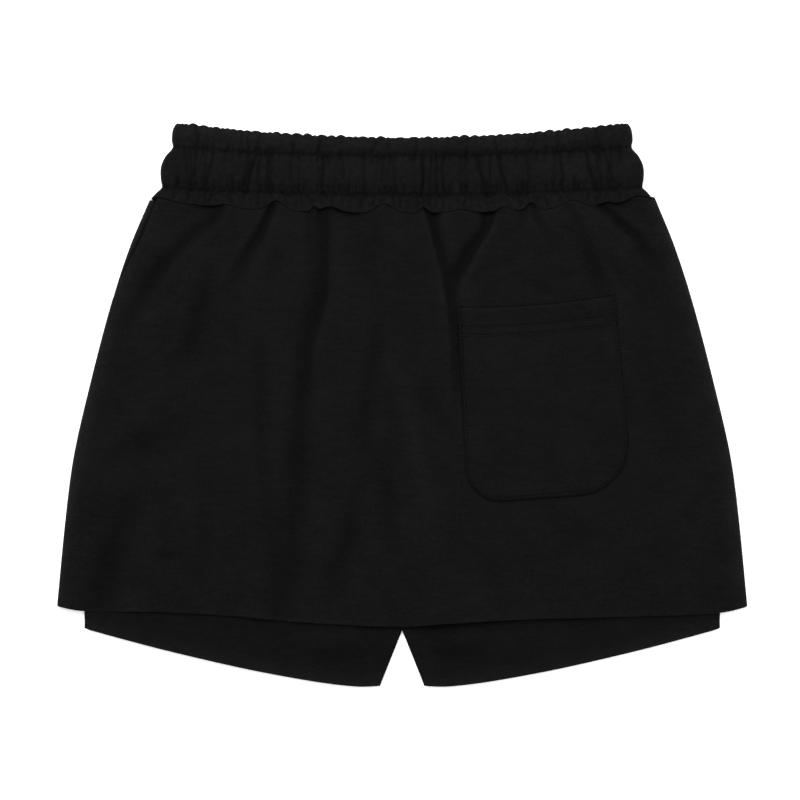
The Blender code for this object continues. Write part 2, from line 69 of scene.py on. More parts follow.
SIDE_SEAM = (
    # y, half the skirt's width
    (0.1476, 0.1818),
    (0.1116, 0.1962),
    (0.0684, 0.2099),
    (0.0036, 0.2268),
    (-0.0396, 0.2365),
    (-0.0828, 0.2423),
    (-0.1445, 0.2484),
)
WAIST_SIDE = SIDE_SEAM[0][0]
HEM_SIDE, HEM_HALF = SIDE_SEAM[-1]
HEM_LINE = (
    # x, y of the skirt's hem
    (-0.2484, -0.1443), (-0.229, -0.1475), (-0.18, -0.148), (-0.1246, -0.1509), (-0.0727, -0.1555),
    (0, -0.1586), (0.0346, -0.1562), (0.0914, -0.1534), (0.1483, -0.1519), (0.2268, -0.149),
    (0.2484, -0.1446),
)
WAIST_LINES = {
    # name: y at the centre, y at the sides, half width there, power of the bow between
    "seam": (0.1378, WAIST_SIDE, SIDE_SEAM[0][1], 2.4),
    "lower_stitch": (0.1512, 0.1566, 0.1734, 2.0),
    "upper_stitch": (0.1786, 0.1850, 0.1652, 2.0),
    "top": (0.1919, 0.2029, 0.1652, 2.0),
}


# %% Small helpers for curves
def mix(a, b, share):
    return a + (b - a) * share


def ease(share):
    """A smooth step from 0 to 1."""
    share = np.clip(share, 0.0, 1.0)
    return share * share * (3 - 2 * share)


def bump(distance, half):
    return np.exp(-((distance / half) ** 2))


def bumps(x, rows):
    """Sum of bumps along x; each row: its place, height and half width."""
    return sum(height * bump(x - at, half) for at, height, half in rows)


def joined(*runs):
    """One run of places out of several, each of which starts where the one before it ends."""
    return np.concatenate([*(run[:-1] for run in runs[:-1]), runs[-1]])


def through(table, at):
    """Values on a smooth curve through rows of (place, value)."""
    place, value = np.array(sorted(table)).T
    at = np.clip(at, place[0], place[-1])
    k = np.clip(np.searchsorted(place, at) - 1, 0, len(place) - 2)
    before = np.maximum(np.arange(len(place)) - 1, 0)
    after = np.minimum(np.arange(len(place)) + 1, len(place) - 1)
    slope = (value[after] - value[before]) / (place[after] - place[before])
    length = place[k + 1] - place[k]
    t = (at - place[k]) / length
    start = (2 * t**3 - 3 * t**2 + 1) * value[k] + (t**3 - 2 * t**2 + t) * length * slope[k]
    end = (3 * t**2 - 2 * t**3) * value[k + 1] + (t**3 - t**2) * length * slope[k + 1]
    return start + end


def waist_line(name, x):
    centre, side, half, power = WAIST_LINES[name]
    return centre + (side - centre) * (np.abs(x) / half) ** power


def skirt_half(y):
    return through(SIDE_SEAM, y)


def skirt_hem(x):
    return through(HEM_LINE, x)


print("waist seam, half width mm:", round(float(skirt_half(WAIST_SIDE)) * 1000, 1))
print("hem, half width mm:", round(float(skirt_half(HEM_SIDE)) * 1000, 1))

# %% [markdown]
# ## Materials
#
# Black sweatshirt knit is not one flat black. Its face has fine columns of loops under a short fuzz.
# The dye takes unevenly, in faint streaks across, and lint, ridges and cut edges are a little greyer,
# the ridges partly as rubbed wear and partly as painted highlight. Creases, the cloth under the band,
# seams, stitch rows and the grooves between the knit's loops get painted shade, some edges a painted
# highlight, and a painted sheen lightens the fuzz where the cloth turns away. The knit and the dye are
# node groups that every cloth material shares, each with its own values. What depends on the view
# stays in the materials.


# %% Small helpers for node trees
FLOAT, VECTOR = "NodeSocketFloat", "NodeSocketVector"


def give(tree, node, given):
    """Set each given input of a node to a value, or link it to a socket."""
    for socket, value in given.items():
        if isinstance(value, bpy.types.NodeSocket):
            tree.links.new(value, node.inputs[socket])
        else:
            node.inputs[socket].default_value = value


def add_node(tree, kind, given=None, **settings):
    node = tree.nodes.new(kind)
    for name, value in settings.items():
        setattr(node, name, value)
    give(tree, node, given or {})
    return node


def calc(tree, operation, *values, clamp=False):
    given = dict(enumerate(values))
    return add_node(tree, "ShaderNodeMath", given, operation=operation, use_clamp=clamp).outputs[0]


def product(tree, *values):
    """All the values multiplied together."""
    result = values[0]
    for value in values[1:]:
        result = calc(tree, "MULTIPLY", result, value)
    return result


def vector(tree, operation, *values):
    given = dict(enumerate(values))
    return add_node(tree, "ShaderNodeVectorMath", given, operation=operation).outputs[0]


def new_tree(name, kind, inputs, outputs):
    """A node group with named inputs (name, socket type, value) and outputs (name, socket type)."""
    tree = bpy.data.node_groups.new(name, kind)
    for label, socket_type, value in inputs:
        socket = tree.interface.new_socket(label, in_out="INPUT", socket_type=socket_type)
        if value is not None:
            socket.default_value = value
    for label, socket_type in outputs:
        tree.interface.new_socket(label, in_out="OUTPUT", socket_type=socket_type)
    return tree, tree.nodes.new("NodeGroupInput").outputs, tree.nodes.new("NodeGroupOutput").inputs


def noise(tree, place, scale, detail=2.0, roughness=0.5):
    given = {"Vector": place, "Scale": scale, "Detail": detail, "Roughness": roughness}
    return add_node(tree, "ShaderNodeTexNoise", given).outputs["Fac"]


def new_material(name):
    material = bpy.data.materials.new(name)
    material.use_nodes = True
    return material, material.node_tree, material.node_tree.nodes["Principled BSDF"]


print("sockets of the helpers:", FLOAT, VECTOR)


# %% The knit: columns of V-shaped loops
WALE = 0.0011  # width of a column of loops
COURSE = 0.0008  # height of a row
SLANT = 1.6  # how steeply the two sides of a loop lean together
LOOP_HEIGHT = 0.35  # share of the height that a loop adds to its column
TURN = 2 * math.pi


def knit_group():
    """Height of the knit's face, from the cloth's own UV map in metres."""
    inputs = (("UV", VECTOR, None), ("Wale", FLOAT, WALE), ("Course", FLOAT, COURSE))
    tree, given, made = new_tree("knit_face", "ShaderNodeTree", inputs, (("Height", FLOAT),))
    place = add_node(tree, "ShaderNodeSeparateXYZ", {0: given["UV"]}).outputs
    column = calc(tree, "DIVIDE", place["X"], given["Wale"])
    row = calc(tree, "DIVIDE", place["Y"], given["Course"])
    slanted = calc(tree, "MULTIPLY_ADD", calc(tree, "PINGPONG", column, 0.5), SLANT, row)
    loop = calc(tree, "SINE", product(tree, slanted, TURN))
    groove = calc(tree, "ABSOLUTE", calc(tree, "SINE", product(tree, column, TURN)))
    height = product(tree, calc(tree, "MULTIPLY_ADD", loop, LOOP_HEIGHT, 1 - LOOP_HEIGHT), groove)
    tree.links.new(height, made["Height"])
    return tree


knit_face = knit_group()
print("knit:", WALE * 1000, "by", COURSE * 1000, "mm a loop")


# %% The dye and the fuzz
PATCHES = 40.0  # how many lie along a metre
STREAKS = 300.0
STREAK_STRETCH = (0.3, 1.0, 1.0)
TUFTS, TUFT_WEIGHT = 560.0, 1.6
GRAIN, GRAIN_WEIGHT = 1200.0, 0.5
MOTTLE_MIDDLE = 1.55  # mean of the patches, tufts and grain together
LINT = 330.0
LINT_FROM = 0.74  # only the peaks of this noise are lint
LINT_LIGHT = 8.0


def dye_group():
    """Shade is a factor on the colour, and Fuzz a fine height."""
    inputs = (
        ("Place", VECTOR, None),
        ("Mottle", FLOAT, 0.34),
        ("Streaks", FLOAT, 0.31),
        ("Lint", FLOAT, 0.5),
    )
    outputs = (("Shade", FLOAT), ("Fuzz", FLOAT))
    tree, given, made = new_tree("dye_and_fuzz", "ShaderNodeTree", inputs, outputs)
    place = given["Place"]
    broad = noise(tree, place, PATCHES, 3.0, 0.5)
    streak = noise(tree, vector(tree, "MULTIPLY", place, STREAK_STRETCH), STREAKS, 2.0, 0.6)
    tufts = noise(tree, place, TUFTS, 2.0, 0.6)
    grain = noise(tree, place, GRAIN, 1.0, 0.5)
    mottle = calc(tree, "MULTIPLY_ADD", grain, GRAIN_WEIGHT, broad)
    mottle = calc(tree, "MULTIPLY_ADD", tufts, TUFT_WEIGHT, mottle)
    mottle = product(tree, calc(tree, "SUBTRACT", mottle, MOTTLE_MIDDLE), given["Mottle"])
    streak = product(tree, calc(tree, "SUBTRACT", streak, 0.5), given["Streaks"])
    lint = calc(tree, "SUBTRACT", noise(tree, place, LINT, 1.0, 0.4), LINT_FROM, clamp=True)
    lint = product(tree, lint, LINT_LIGHT, given["Lint"])
    shade = calc(tree, "MULTIPLY_ADD", calc(tree, "ADD", mottle, streak), 2.0, 1.0)
    tree.links.new(calc(tree, "ADD", shade, lint), made["Shade"])
    tree.links.new(calc(tree, "ADD", tufts, grain), made["Fuzz"])
    return tree


dye_and_fuzz = dye_group()
print("dye:", ", ".join(item.name for item in dye_and_fuzz.interface.items_tree))


# %% Wear and painted light: from how far a place stands proud of the cloth about it
OPENING = 1.6  # how fast the painted sheen fades out in painted shade


def wear_and_painted_light_group():
    """The first input is 1 where the cloth comes out lightest, on a rubbed ridge or cut edge and under a
    painted highlight, and -1 where it gets the deepest painted shade, as in a crease.
    """
    inputs = (("Painted_light_and_wear", FLOAT, 0.0), ("Wear_and_highlight", FLOAT, 0.3), ("Painted_shade", FLOAT, 0.5))
    outputs = (("Shade", FLOAT), ("Open", FLOAT))
    tree, given, made = new_tree("wear_and_painted_light", "ShaderNodeTree", inputs, outputs)
    # lighter, as wear and as painted highlight
    ridge = product(tree, calc(tree, "MAXIMUM", given["Painted_light_and_wear"], 0.0), given["Wear_and_highlight"])
    # darker, as painted shade
    crease = product(tree, calc(tree, "MINIMUM", given["Painted_light_and_wear"], 0.0), given["Painted_shade"])
    tree.links.new(calc(tree, "ADD", calc(tree, "ADD", ridge, crease), 1.0), made["Shade"])
    # where the painted sheen may show: nowhere in painted shade
    tree.links.new(calc(tree, "MULTIPLY_ADD", given["Painted_light_and_wear"], OPENING, 1.0, clamp=True), made["Open"])
    return tree


wear_and_painted_light = wear_and_painted_light_group()
print("wear:", ", ".join(item.name for item in wear_and_painted_light.interface.items_tree))


# %% The cloth material
SHEEN = 0.02
SHEEN_ROUGHNESS = 0.35
SHEEN_TINT = (0.9, 0.92, 1.0, 1.0)
NAP_GLOSS = 0.04
PAINTED_SHADE_BETWEEN_LOOPS = 0.8  # painted shade: the colour between the knit's loops is this share
LOOP_TOP_HIGHLIGHT = 0.35  # and a loop's top gets this much more, as painted highlight
ROUGHNESS = 0.8
FUZZ_ROUGHNESS = 0.1
RELIEF = 0.0003  # depth of the relief
KNIT_RELIEF = 0.5  # how much of it the knit makes up, where the fuzz makes up 1


def coloured(tree, colour, shade):
    """The colour times a factor."""
    grey = add_node(tree, "ShaderNodeCombineColor", {0: shade, 1: shade, 2: shade}).outputs["Color"]
    given = {"Factor": 1.0, "A": (*colour, 1.0), "B": grey}
    return add_node(tree, "ShaderNodeMix", given, data_type="RGBA", blend_type="MULTIPLY").outputs["Result"]


def cloth_material(name, colour, offset, rim, wear_and_highlight=0.35, deep=0.4):
    """`rim` is a painted sheen that lightens the colour where the cloth turns away from the view, and
    `offset` shifts the dye's pattern. Ridges come out lighter, as wear and painted highlight, and creases
    darker, as painted shade.
    """
    material, tree, shader = new_material(name)
    uv = add_node(tree, "ShaderNodeUVMap", uv_map="UVMap").outputs["UV"]
    place = tree.nodes.new("ShaderNodeTexCoord").outputs["Object"]
    place = vector(tree, "ADD", place, (offset, 0.0, 0.0))
    proud = add_node(tree, "ShaderNodeAttribute", attribute_name="proud").outputs["Fac"]
    facing = add_node(tree, "ShaderNodeLayerWeight", {"Blend": 0.5}).outputs["Facing"]
    knit = add_node(tree, "ShaderNodeGroup", {"UV": uv}, node_tree=knit_face).outputs
    dye = add_node(tree, "ShaderNodeGroup", {"Place": place}, node_tree=dye_and_fuzz).outputs
    given = {"Painted_light_and_wear": proud, "Wear_and_highlight": wear_and_highlight, "Painted_shade": deep}
    worn_and_painted = add_node(tree, "ShaderNodeGroup", given, node_tree=wear_and_painted_light).outputs
    # painted sheen: lighter where the cloth turns away from the view, except in painted shade
    turned = product(tree, facing, rim, worn_and_painted["Open"])
    # painted shade between the knit's loops and painted highlight on their tops
    loops = calc(tree, "MULTIPLY_ADD", knit["Height"], LOOP_TOP_HIGHLIGHT, PAINTED_SHADE_BETWEEN_LOOPS)
    shade = product(tree, dye["Shade"], worn_and_painted["Shade"], loops, calc(tree, "ADD", turned, 1.0))
    rough = calc(tree, "MULTIPLY_ADD", dye["Fuzz"], FUZZ_ROUGHNESS, ROUGHNESS, clamp=True)
    height = calc(tree, "MULTIPLY_ADD", knit["Height"], KNIT_RELIEF, dye["Fuzz"])
    relief = add_node(tree, "ShaderNodeBump", {"Strength": 0.7, "Distance": RELIEF, "Height": height})
    give(tree, shader, {
        "Base Color": coloured(tree, colour, shade),
        "Roughness": rough,
        "Normal": relief.outputs["Normal"],
        "Sheen Weight": SHEEN,
        "Sheen Roughness": SHEEN_ROUGHNESS,
        "Sheen Tint": SHEEN_TINT,
        "Specular IOR Level": NAP_GLOSS,
    })
    return material


BLACK = (0.0038, 0.0038, 0.0039)
skirt_material = cloth_material("skirt_fleece", BLACK, 0.0, 0.9, wear_and_highlight=0.45, deep=0.48)
pocket_material = cloth_material("pocket_fleece", BLACK, 0.7, 0.9, wear_and_highlight=0.45, deep=0.48)
band_material = cloth_material("waistband_fleece", (0.0041, 0.0041, 0.0042), 1.3, 0.6, deep=0.5)
shorts_material = cloth_material("shorts_fleece", (0.0033, 0.0033, 0.0034), 1.9, 1.2, wear_and_highlight=0.6)
cloths = (skirt_material, pocket_material, band_material, shorts_material)
print("cloths:", ", ".join(material.name for material in cloths))


# %% The sewing thread
THREAD = (0.0048, 0.0048, 0.0050)
PLY = 0.00035  # distance from ply to ply
PLY_RELIEF = 0.00006


def thread_material():
    """Polyester thread is smoother than the cloth, so it glints a little. Its plies lie slantwise."""
    material, tree, shader = new_material("sewing_thread")
    place = tree.nodes.new("ShaderNodeTexCoord").outputs["Object"]
    slant = add_node(tree, "ShaderNodeVectorMath", {0: place, 1: (1.0, 1.0, 0.0)}, operation="DOT_PRODUCT")
    ply = calc(tree, "SINE", product(tree, slant.outputs["Value"], TURN / PLY))
    # painted shade and highlight along the plies, on a random tone
    shade = calc(tree, "MULTIPLY_ADD", ply, 0.18, calc(tree, "ADD", noise(tree, place, 300.0), 0.5))
    relief = add_node(tree, "ShaderNodeBump", {"Strength": 0.6, "Distance": PLY_RELIEF, "Height": ply})
    give(tree, shader, {
        "Base Color": coloured(tree, THREAD, shade),
        "Roughness": calc(tree, "MULTIPLY_ADD", ply, 0.08, 0.5),
        "Normal": relief.outputs["Normal"],
        "Sheen Weight": 0.04,
        "Sheen Roughness": 0.3,
        "Specular IOR Level": 0.15,
    })
    return material


sewing_thread = thread_material()
print("thread:", sewing_thread.name)

# %% [markdown]
# ## What repeats
#
# Three Geometry Nodes trees make what follows a rule. One rucks up a piece of cloth: elastic and a
# gathered seam leave fine creases that all run one way, so the cloth sinks along the lines where a
# stretched noise passes its middle. One sews a row of stitches along a path. One sets loose fibres
# along a raw-cut edge. Each is turned into a plain mesh at once.


# %% Turn a tree's result into a plain mesh
GEOMETRY = ("Geometry", "NodeSocketGeometry")
KINDS = {int: "NodeSocketInt", float: FLOAT}


def geometry_tree(name, **sizes):
    """A tree that takes geometry, named numbers and a material, and gives geometry."""
    numbers = [(label, KINDS[type(value)], value) for label, value in sizes.items()]
    inputs = ((*GEOMETRY, None), *numbers, ("Material", "NodeSocketMaterial", None))
    return new_tree(name, "GeometryNodeTree", inputs, (GEOMETRY,))


def named_value(tree, name, kind="FLOAT"):
    given = {"Name": name}
    return add_node(tree, "GeometryNodeInputNamedAttribute", given, data_type=kind).outputs["Attribute"]


def closing(tree, geometry, material, made):
    """The end of each tree: real mesh in place of instances, and the material."""
    real = add_node(tree, "GeometryNodeRealizeInstances", {"Geometry": geometry}).outputs[0]
    real = add_node(tree, "GeometryNodeSetMaterial", {"Geometry": real, "Material": material}).outputs[0]
    tree.links.new(real, made["Geometry"])


def made_by(tree, source, values):
    """Run a tree on an object with its inputs set by name, and keep the result as its mesh."""
    modifier = source.modifiers.new(tree.name, "NODES")
    modifier.node_group = tree
    for item in tree.interface.items_tree:
        if item.name in values:
            modifier[item.identifier] = values[item.name]
    result = bpy.data.meshes.new_from_object(source.evaluated_get(bpy.context.evaluated_depsgraph_get()))
    source.modifiers.clear()
    source.data = result
    return source


print("every tree takes and gives:", GEOMETRY[0])


# %% The tree that rucks up cloth
def ruck_tree():
    """`Across` and `Down` count the creases in a metre, across their run and along it."""
    tree, given, made = geometry_tree(
        "rucked_cloth", Across=140.0, Down=25.0, Depth=0.0004, Sharpness=3.0, Seed=0.0
    )
    stretch = add_node(tree, "ShaderNodeCombineXYZ", {"X": given["Across"], "Y": given["Down"]}).outputs[0]
    place = vector(tree, "MULTIPLY", tree.nodes.new("GeometryNodeInputPosition").outputs[0], stretch)
    settings = {"Vector": place, "W": given["Seed"], "Scale": 1.0, "Detail": 2.0}
    texture = add_node(tree, "ShaderNodeTexNoise", settings, noise_dimensions="4D").outputs["Fac"]
    off_middle = calc(tree, "ABSOLUTE", calc(tree, "MULTIPLY_ADD", texture, 4.0, -2.0), clamp=True)
    crease = calc(tree, "POWER", calc(tree, "SUBTRACT", 1.0, off_middle), given["Sharpness"])
    most = product(tree, named_value(tree, "free"), given["Depth"])
    offset = add_node(tree, "ShaderNodeCombineXYZ", {"Z": product(tree, crease, most, -1.0)}).outputs[0]
    moved = add_node(tree, "GeometryNodeSetPosition", {"Geometry": given["Geometry"], "Offset": offset})
    closing(tree, moved.outputs[0], given["Material"], made)
    return tree


rucked_cloth = ruck_tree()
print("tree:", rucked_cloth.name)


# %% The tree that sews a row of stitches
STITCH_UNEVEN = (0.88, 1.08)


def even_points(tree, line, spacing):
    curve = add_node(tree, "GeometryNodeMeshToCurve", {"Mesh": line}).outputs[0]
    given = {"Curve": curve, "Length": spacing}
    return add_node(tree, "GeometryNodeResampleCurve", given, mode="LENGTH").outputs[0]


def uneven(tree, seed, least, most):
    """A number between two for each point."""
    given = {2: least, 3: most, "Seed": seed}
    return add_node(tree, "FunctionNodeRandomValue", given, data_type="FLOAT").outputs[1]


def one_at_each(tree, points, instance, turn, scale):
    given = {"Points": points, "Instance": instance, "Rotation": turn, "Scale": scale}
    return add_node(tree, "GeometryNodeInstanceOnPoints", given).outputs[0]


def stitch_tree():
    """A bead for each stitch, along the row and square to the way that its cloth faces."""
    tree, given, made = geometry_tree("row_of_stitches", Pitch=0.0027, Length=0.0023, Thickness=0.0004)
    points = even_points(tree, given["Geometry"], given["Pitch"])
    along_row = {"Vector": tree.nodes.new("GeometryNodeInputTangent").outputs[0]}
    turn = add_node(tree, "FunctionNodeAlignRotationToVector", along_row, axis="X").outputs[0]
    upright = {"Rotation": turn, "Vector": named_value(tree, "up", "FLOAT_VECTOR")}
    turn = add_node(tree, "FunctionNodeAlignRotationToVector", upright, axis="Z", pivot_axis="X").outputs[0]
    bead = add_node(tree, "GeometryNodeMeshUVSphere", {"Segments": 8, "Rings": 6, "Radius": 0.5}).outputs[0]
    sides = {"X": given["Length"], "Y": given["Thickness"], "Z": given["Thickness"]}
    size = add_node(tree, "ShaderNodeCombineXYZ", sides).outputs[0]
    scaled = {0: size, "Scale": uneven(tree, 4, *STITCH_UNEVEN)}
    scale = add_node(tree, "ShaderNodeVectorMath", scaled, operation="SCALE").outputs[0]
    laid = one_at_each(tree, points, bead, turn, scale)
    smooth = add_node(tree, "GeometryNodeSetShadeSmooth", {"Geometry": laid}).outputs[0]
    closing(tree, smooth, given["Material"], made)
    return tree


row_of_stitches = stitch_tree()
print("tree:", row_of_stitches.name)


# %% The tree that frays a raw edge
FIBRE_UNEVEN = (0.3, 1.0)
STRAY = (0.9, 0.9, 0.5)  # how far a fibre may turn from the way its edge faces


def fray_tree():
    tree, given, made = geometry_tree("frayed_edge", Spacing=0.0007, Length=0.0011, Thickness=0.00005, Seed=1)
    points = even_points(tree, given["Geometry"], given["Spacing"])
    spread = {0: [-most for most in STRAY], 1: STRAY, "Seed": given["Seed"]}
    stray = add_node(tree, "FunctionNodeRandomValue", spread, data_type="FLOAT_VECTOR").outputs[0]
    way = vector(tree, "ADD", named_value(tree, "up", "FLOAT_VECTOR"), stray)
    turn = add_node(tree, "FunctionNodeAlignRotationToVector", {"Vector": way}, axis="Z").outputs[0]
    cone = {"Vertices": 3, "Radius Bottom": given["Thickness"], "Depth": given["Length"]}
    fibre = add_node(tree, "GeometryNodeMeshCone", cone).outputs[0]
    laid = one_at_each(tree, points, fibre, turn, uneven(tree, given["Seed"], *FIBRE_UNEVEN))
    closing(tree, laid, given["Material"], made)
    return tree


frayed_edge = fray_tree()
print("tree:", frayed_edge.name)

# %% [markdown]
# ## One mesh for each cut piece
#
# A cut piece is a thin body with an outer and an inner face. Both are lattices of points, row by row,
# and the rim between them is rounded by one extra ring, as a cut edge of thick knit is. Making both
# faces here, and not with a Solidify modifier, lets the cloth be thicker at a fold or a hem. The UV
# map is in metres along the cloth, so the knit keeps its scale where the cloth is rolled or gathered.


# %% A closed cloth body from two lattices of points
def along(points, axis):
    """Distance along the lattice's rows or columns, zero in the middle."""
    step = np.linalg.norm(np.diff(points, axis=axis), axis=2)
    start = np.zeros_like(np.take(step, [0], axis=axis))
    total = np.cumsum(np.concatenate([start, step], axis=axis), axis=axis)
    middle = np.take(total, [total.shape[axis] // 2], axis=axis)
    return total - middle


def normals_of(points):
    """Unit normals of a lattice whose columns run to +x and whose rows run to -y."""
    across = np.gradient(points, axis=1)
    down = np.gradient(points, axis=0)
    normal = np.cross(down, across)
    return normal / np.linalg.norm(normal, axis=2, keepdims=True)


def lattice_faces(index):
    """Quads over a lattice of point numbers."""
    corners = (index[:-1, :-1], index[1:, :-1], index[1:, 1:], index[:-1, 1:])
    return np.stack(corners, axis=2).reshape(-1, 4)


def border_of(index):
    """Point numbers round a lattice, starting along its first row."""
    top, right, bottom, left = index[0], index[1:, -1], index[-1, -2::-1], index[-2:0:-1, 0]
    return np.concatenate([top, right, bottom, left])


def put(name, data):
    """A new object in the scene."""
    made = bpy.data.objects.new(name, data)
    bpy.context.scene.collection.objects.link(made)
    return made


def mesh_piece(name, points, faces, uv, values):
    """`values` holds a number for each point under each name."""
    mesh = bpy.data.meshes.new(name)
    mesh.from_pydata(points.tolist(), [], faces.tolist())
    layer = mesh.uv_layers.new(name="UVMap")
    corner = np.zeros(len(mesh.loops), dtype=np.int32)
    mesh.loops.foreach_get("vertex_index", corner)
    layer.data.foreach_set("uv", uv[corner].ravel().astype(np.float32))
    for label, value in values.items():
        attribute = mesh.attributes.new(label, "FLOAT", "POINT")
        attribute.data.foreach_set("value", value.ravel().astype(np.float32))
    mesh.shade_smooth()
    return put(name, mesh)


def cloth_body(name, outer, inner, proud, free, rim=0.35):
    """A closed body between an outer and an inner lattice, its rim rounded by `rim` of its thickness.

    For each point, one value says how light it is painted, from -1 in the deepest painted shade to 1
    where wear and painted highlight make it lightest, and `free` how much it may ruck up, from 0 to 1."""
    count = outer.shape[0] * outer.shape[1]
    index = np.arange(count).reshape(outer.shape[:2])
    edge = border_of(index)
    inward = border_of(np.pad(index[1:-1, 1:-1], 1, mode="edge"))
    flat_outer, flat_inner = outer.reshape(-1, 3), inner.reshape(-1, 3)
    middle = (flat_outer[edge] + flat_inner[edge]) / 2
    away = middle - (flat_outer[inward] + flat_inner[inward]) / 2
    away /= np.linalg.norm(away, axis=1, keepdims=True)
    thick = np.linalg.norm(flat_outer[edge] - flat_inner[edge], axis=1, keepdims=True)
    ring = middle + away * thick * rim

    ring_index = 2 * count + np.arange(len(edge))
    after = np.roll(np.arange(len(edge)), -1)
    upper = np.stack([edge, edge[after], ring_index[after], ring_index], axis=1)
    lower = np.stack([ring_index, ring_index[after], count + edge[after], count + edge], axis=1)
    faces = np.concatenate([lattice_faces(index), lattice_faces(index)[:, ::-1] + count, upper, lower])
    uv = np.stack([along(outer, 1), -along(outer, 0)], axis=2).reshape(-1, 2)
    points = np.concatenate([flat_outer, flat_inner, ring])
    uv = np.concatenate([uv, uv, uv[edge]])
    values = {"proud": proud, "free": free}
    for label, value in values.items():
        flat = np.broadcast_to(value, index.shape).ravel()
        values[label] = np.concatenate([flat, flat, flat[edge]])
    return mesh_piece(name, points, faces, uv, values)


print("points round a lattice of 3 by 3:", len(border_of(np.arange(9).reshape(3, 3))))

# %% [markdown]
# ## Folds
#
# The elastic gathers the top of the skirt, and long troughs fall from the waist seam. Larger, softer
# ones lie lower down. Each is a smooth path with a depth and a width, and many have one steep side,
# where the cloth tips over. A simulation would put its folds where it liked, so they are placed one by
# one, as they lie on the real skirt.

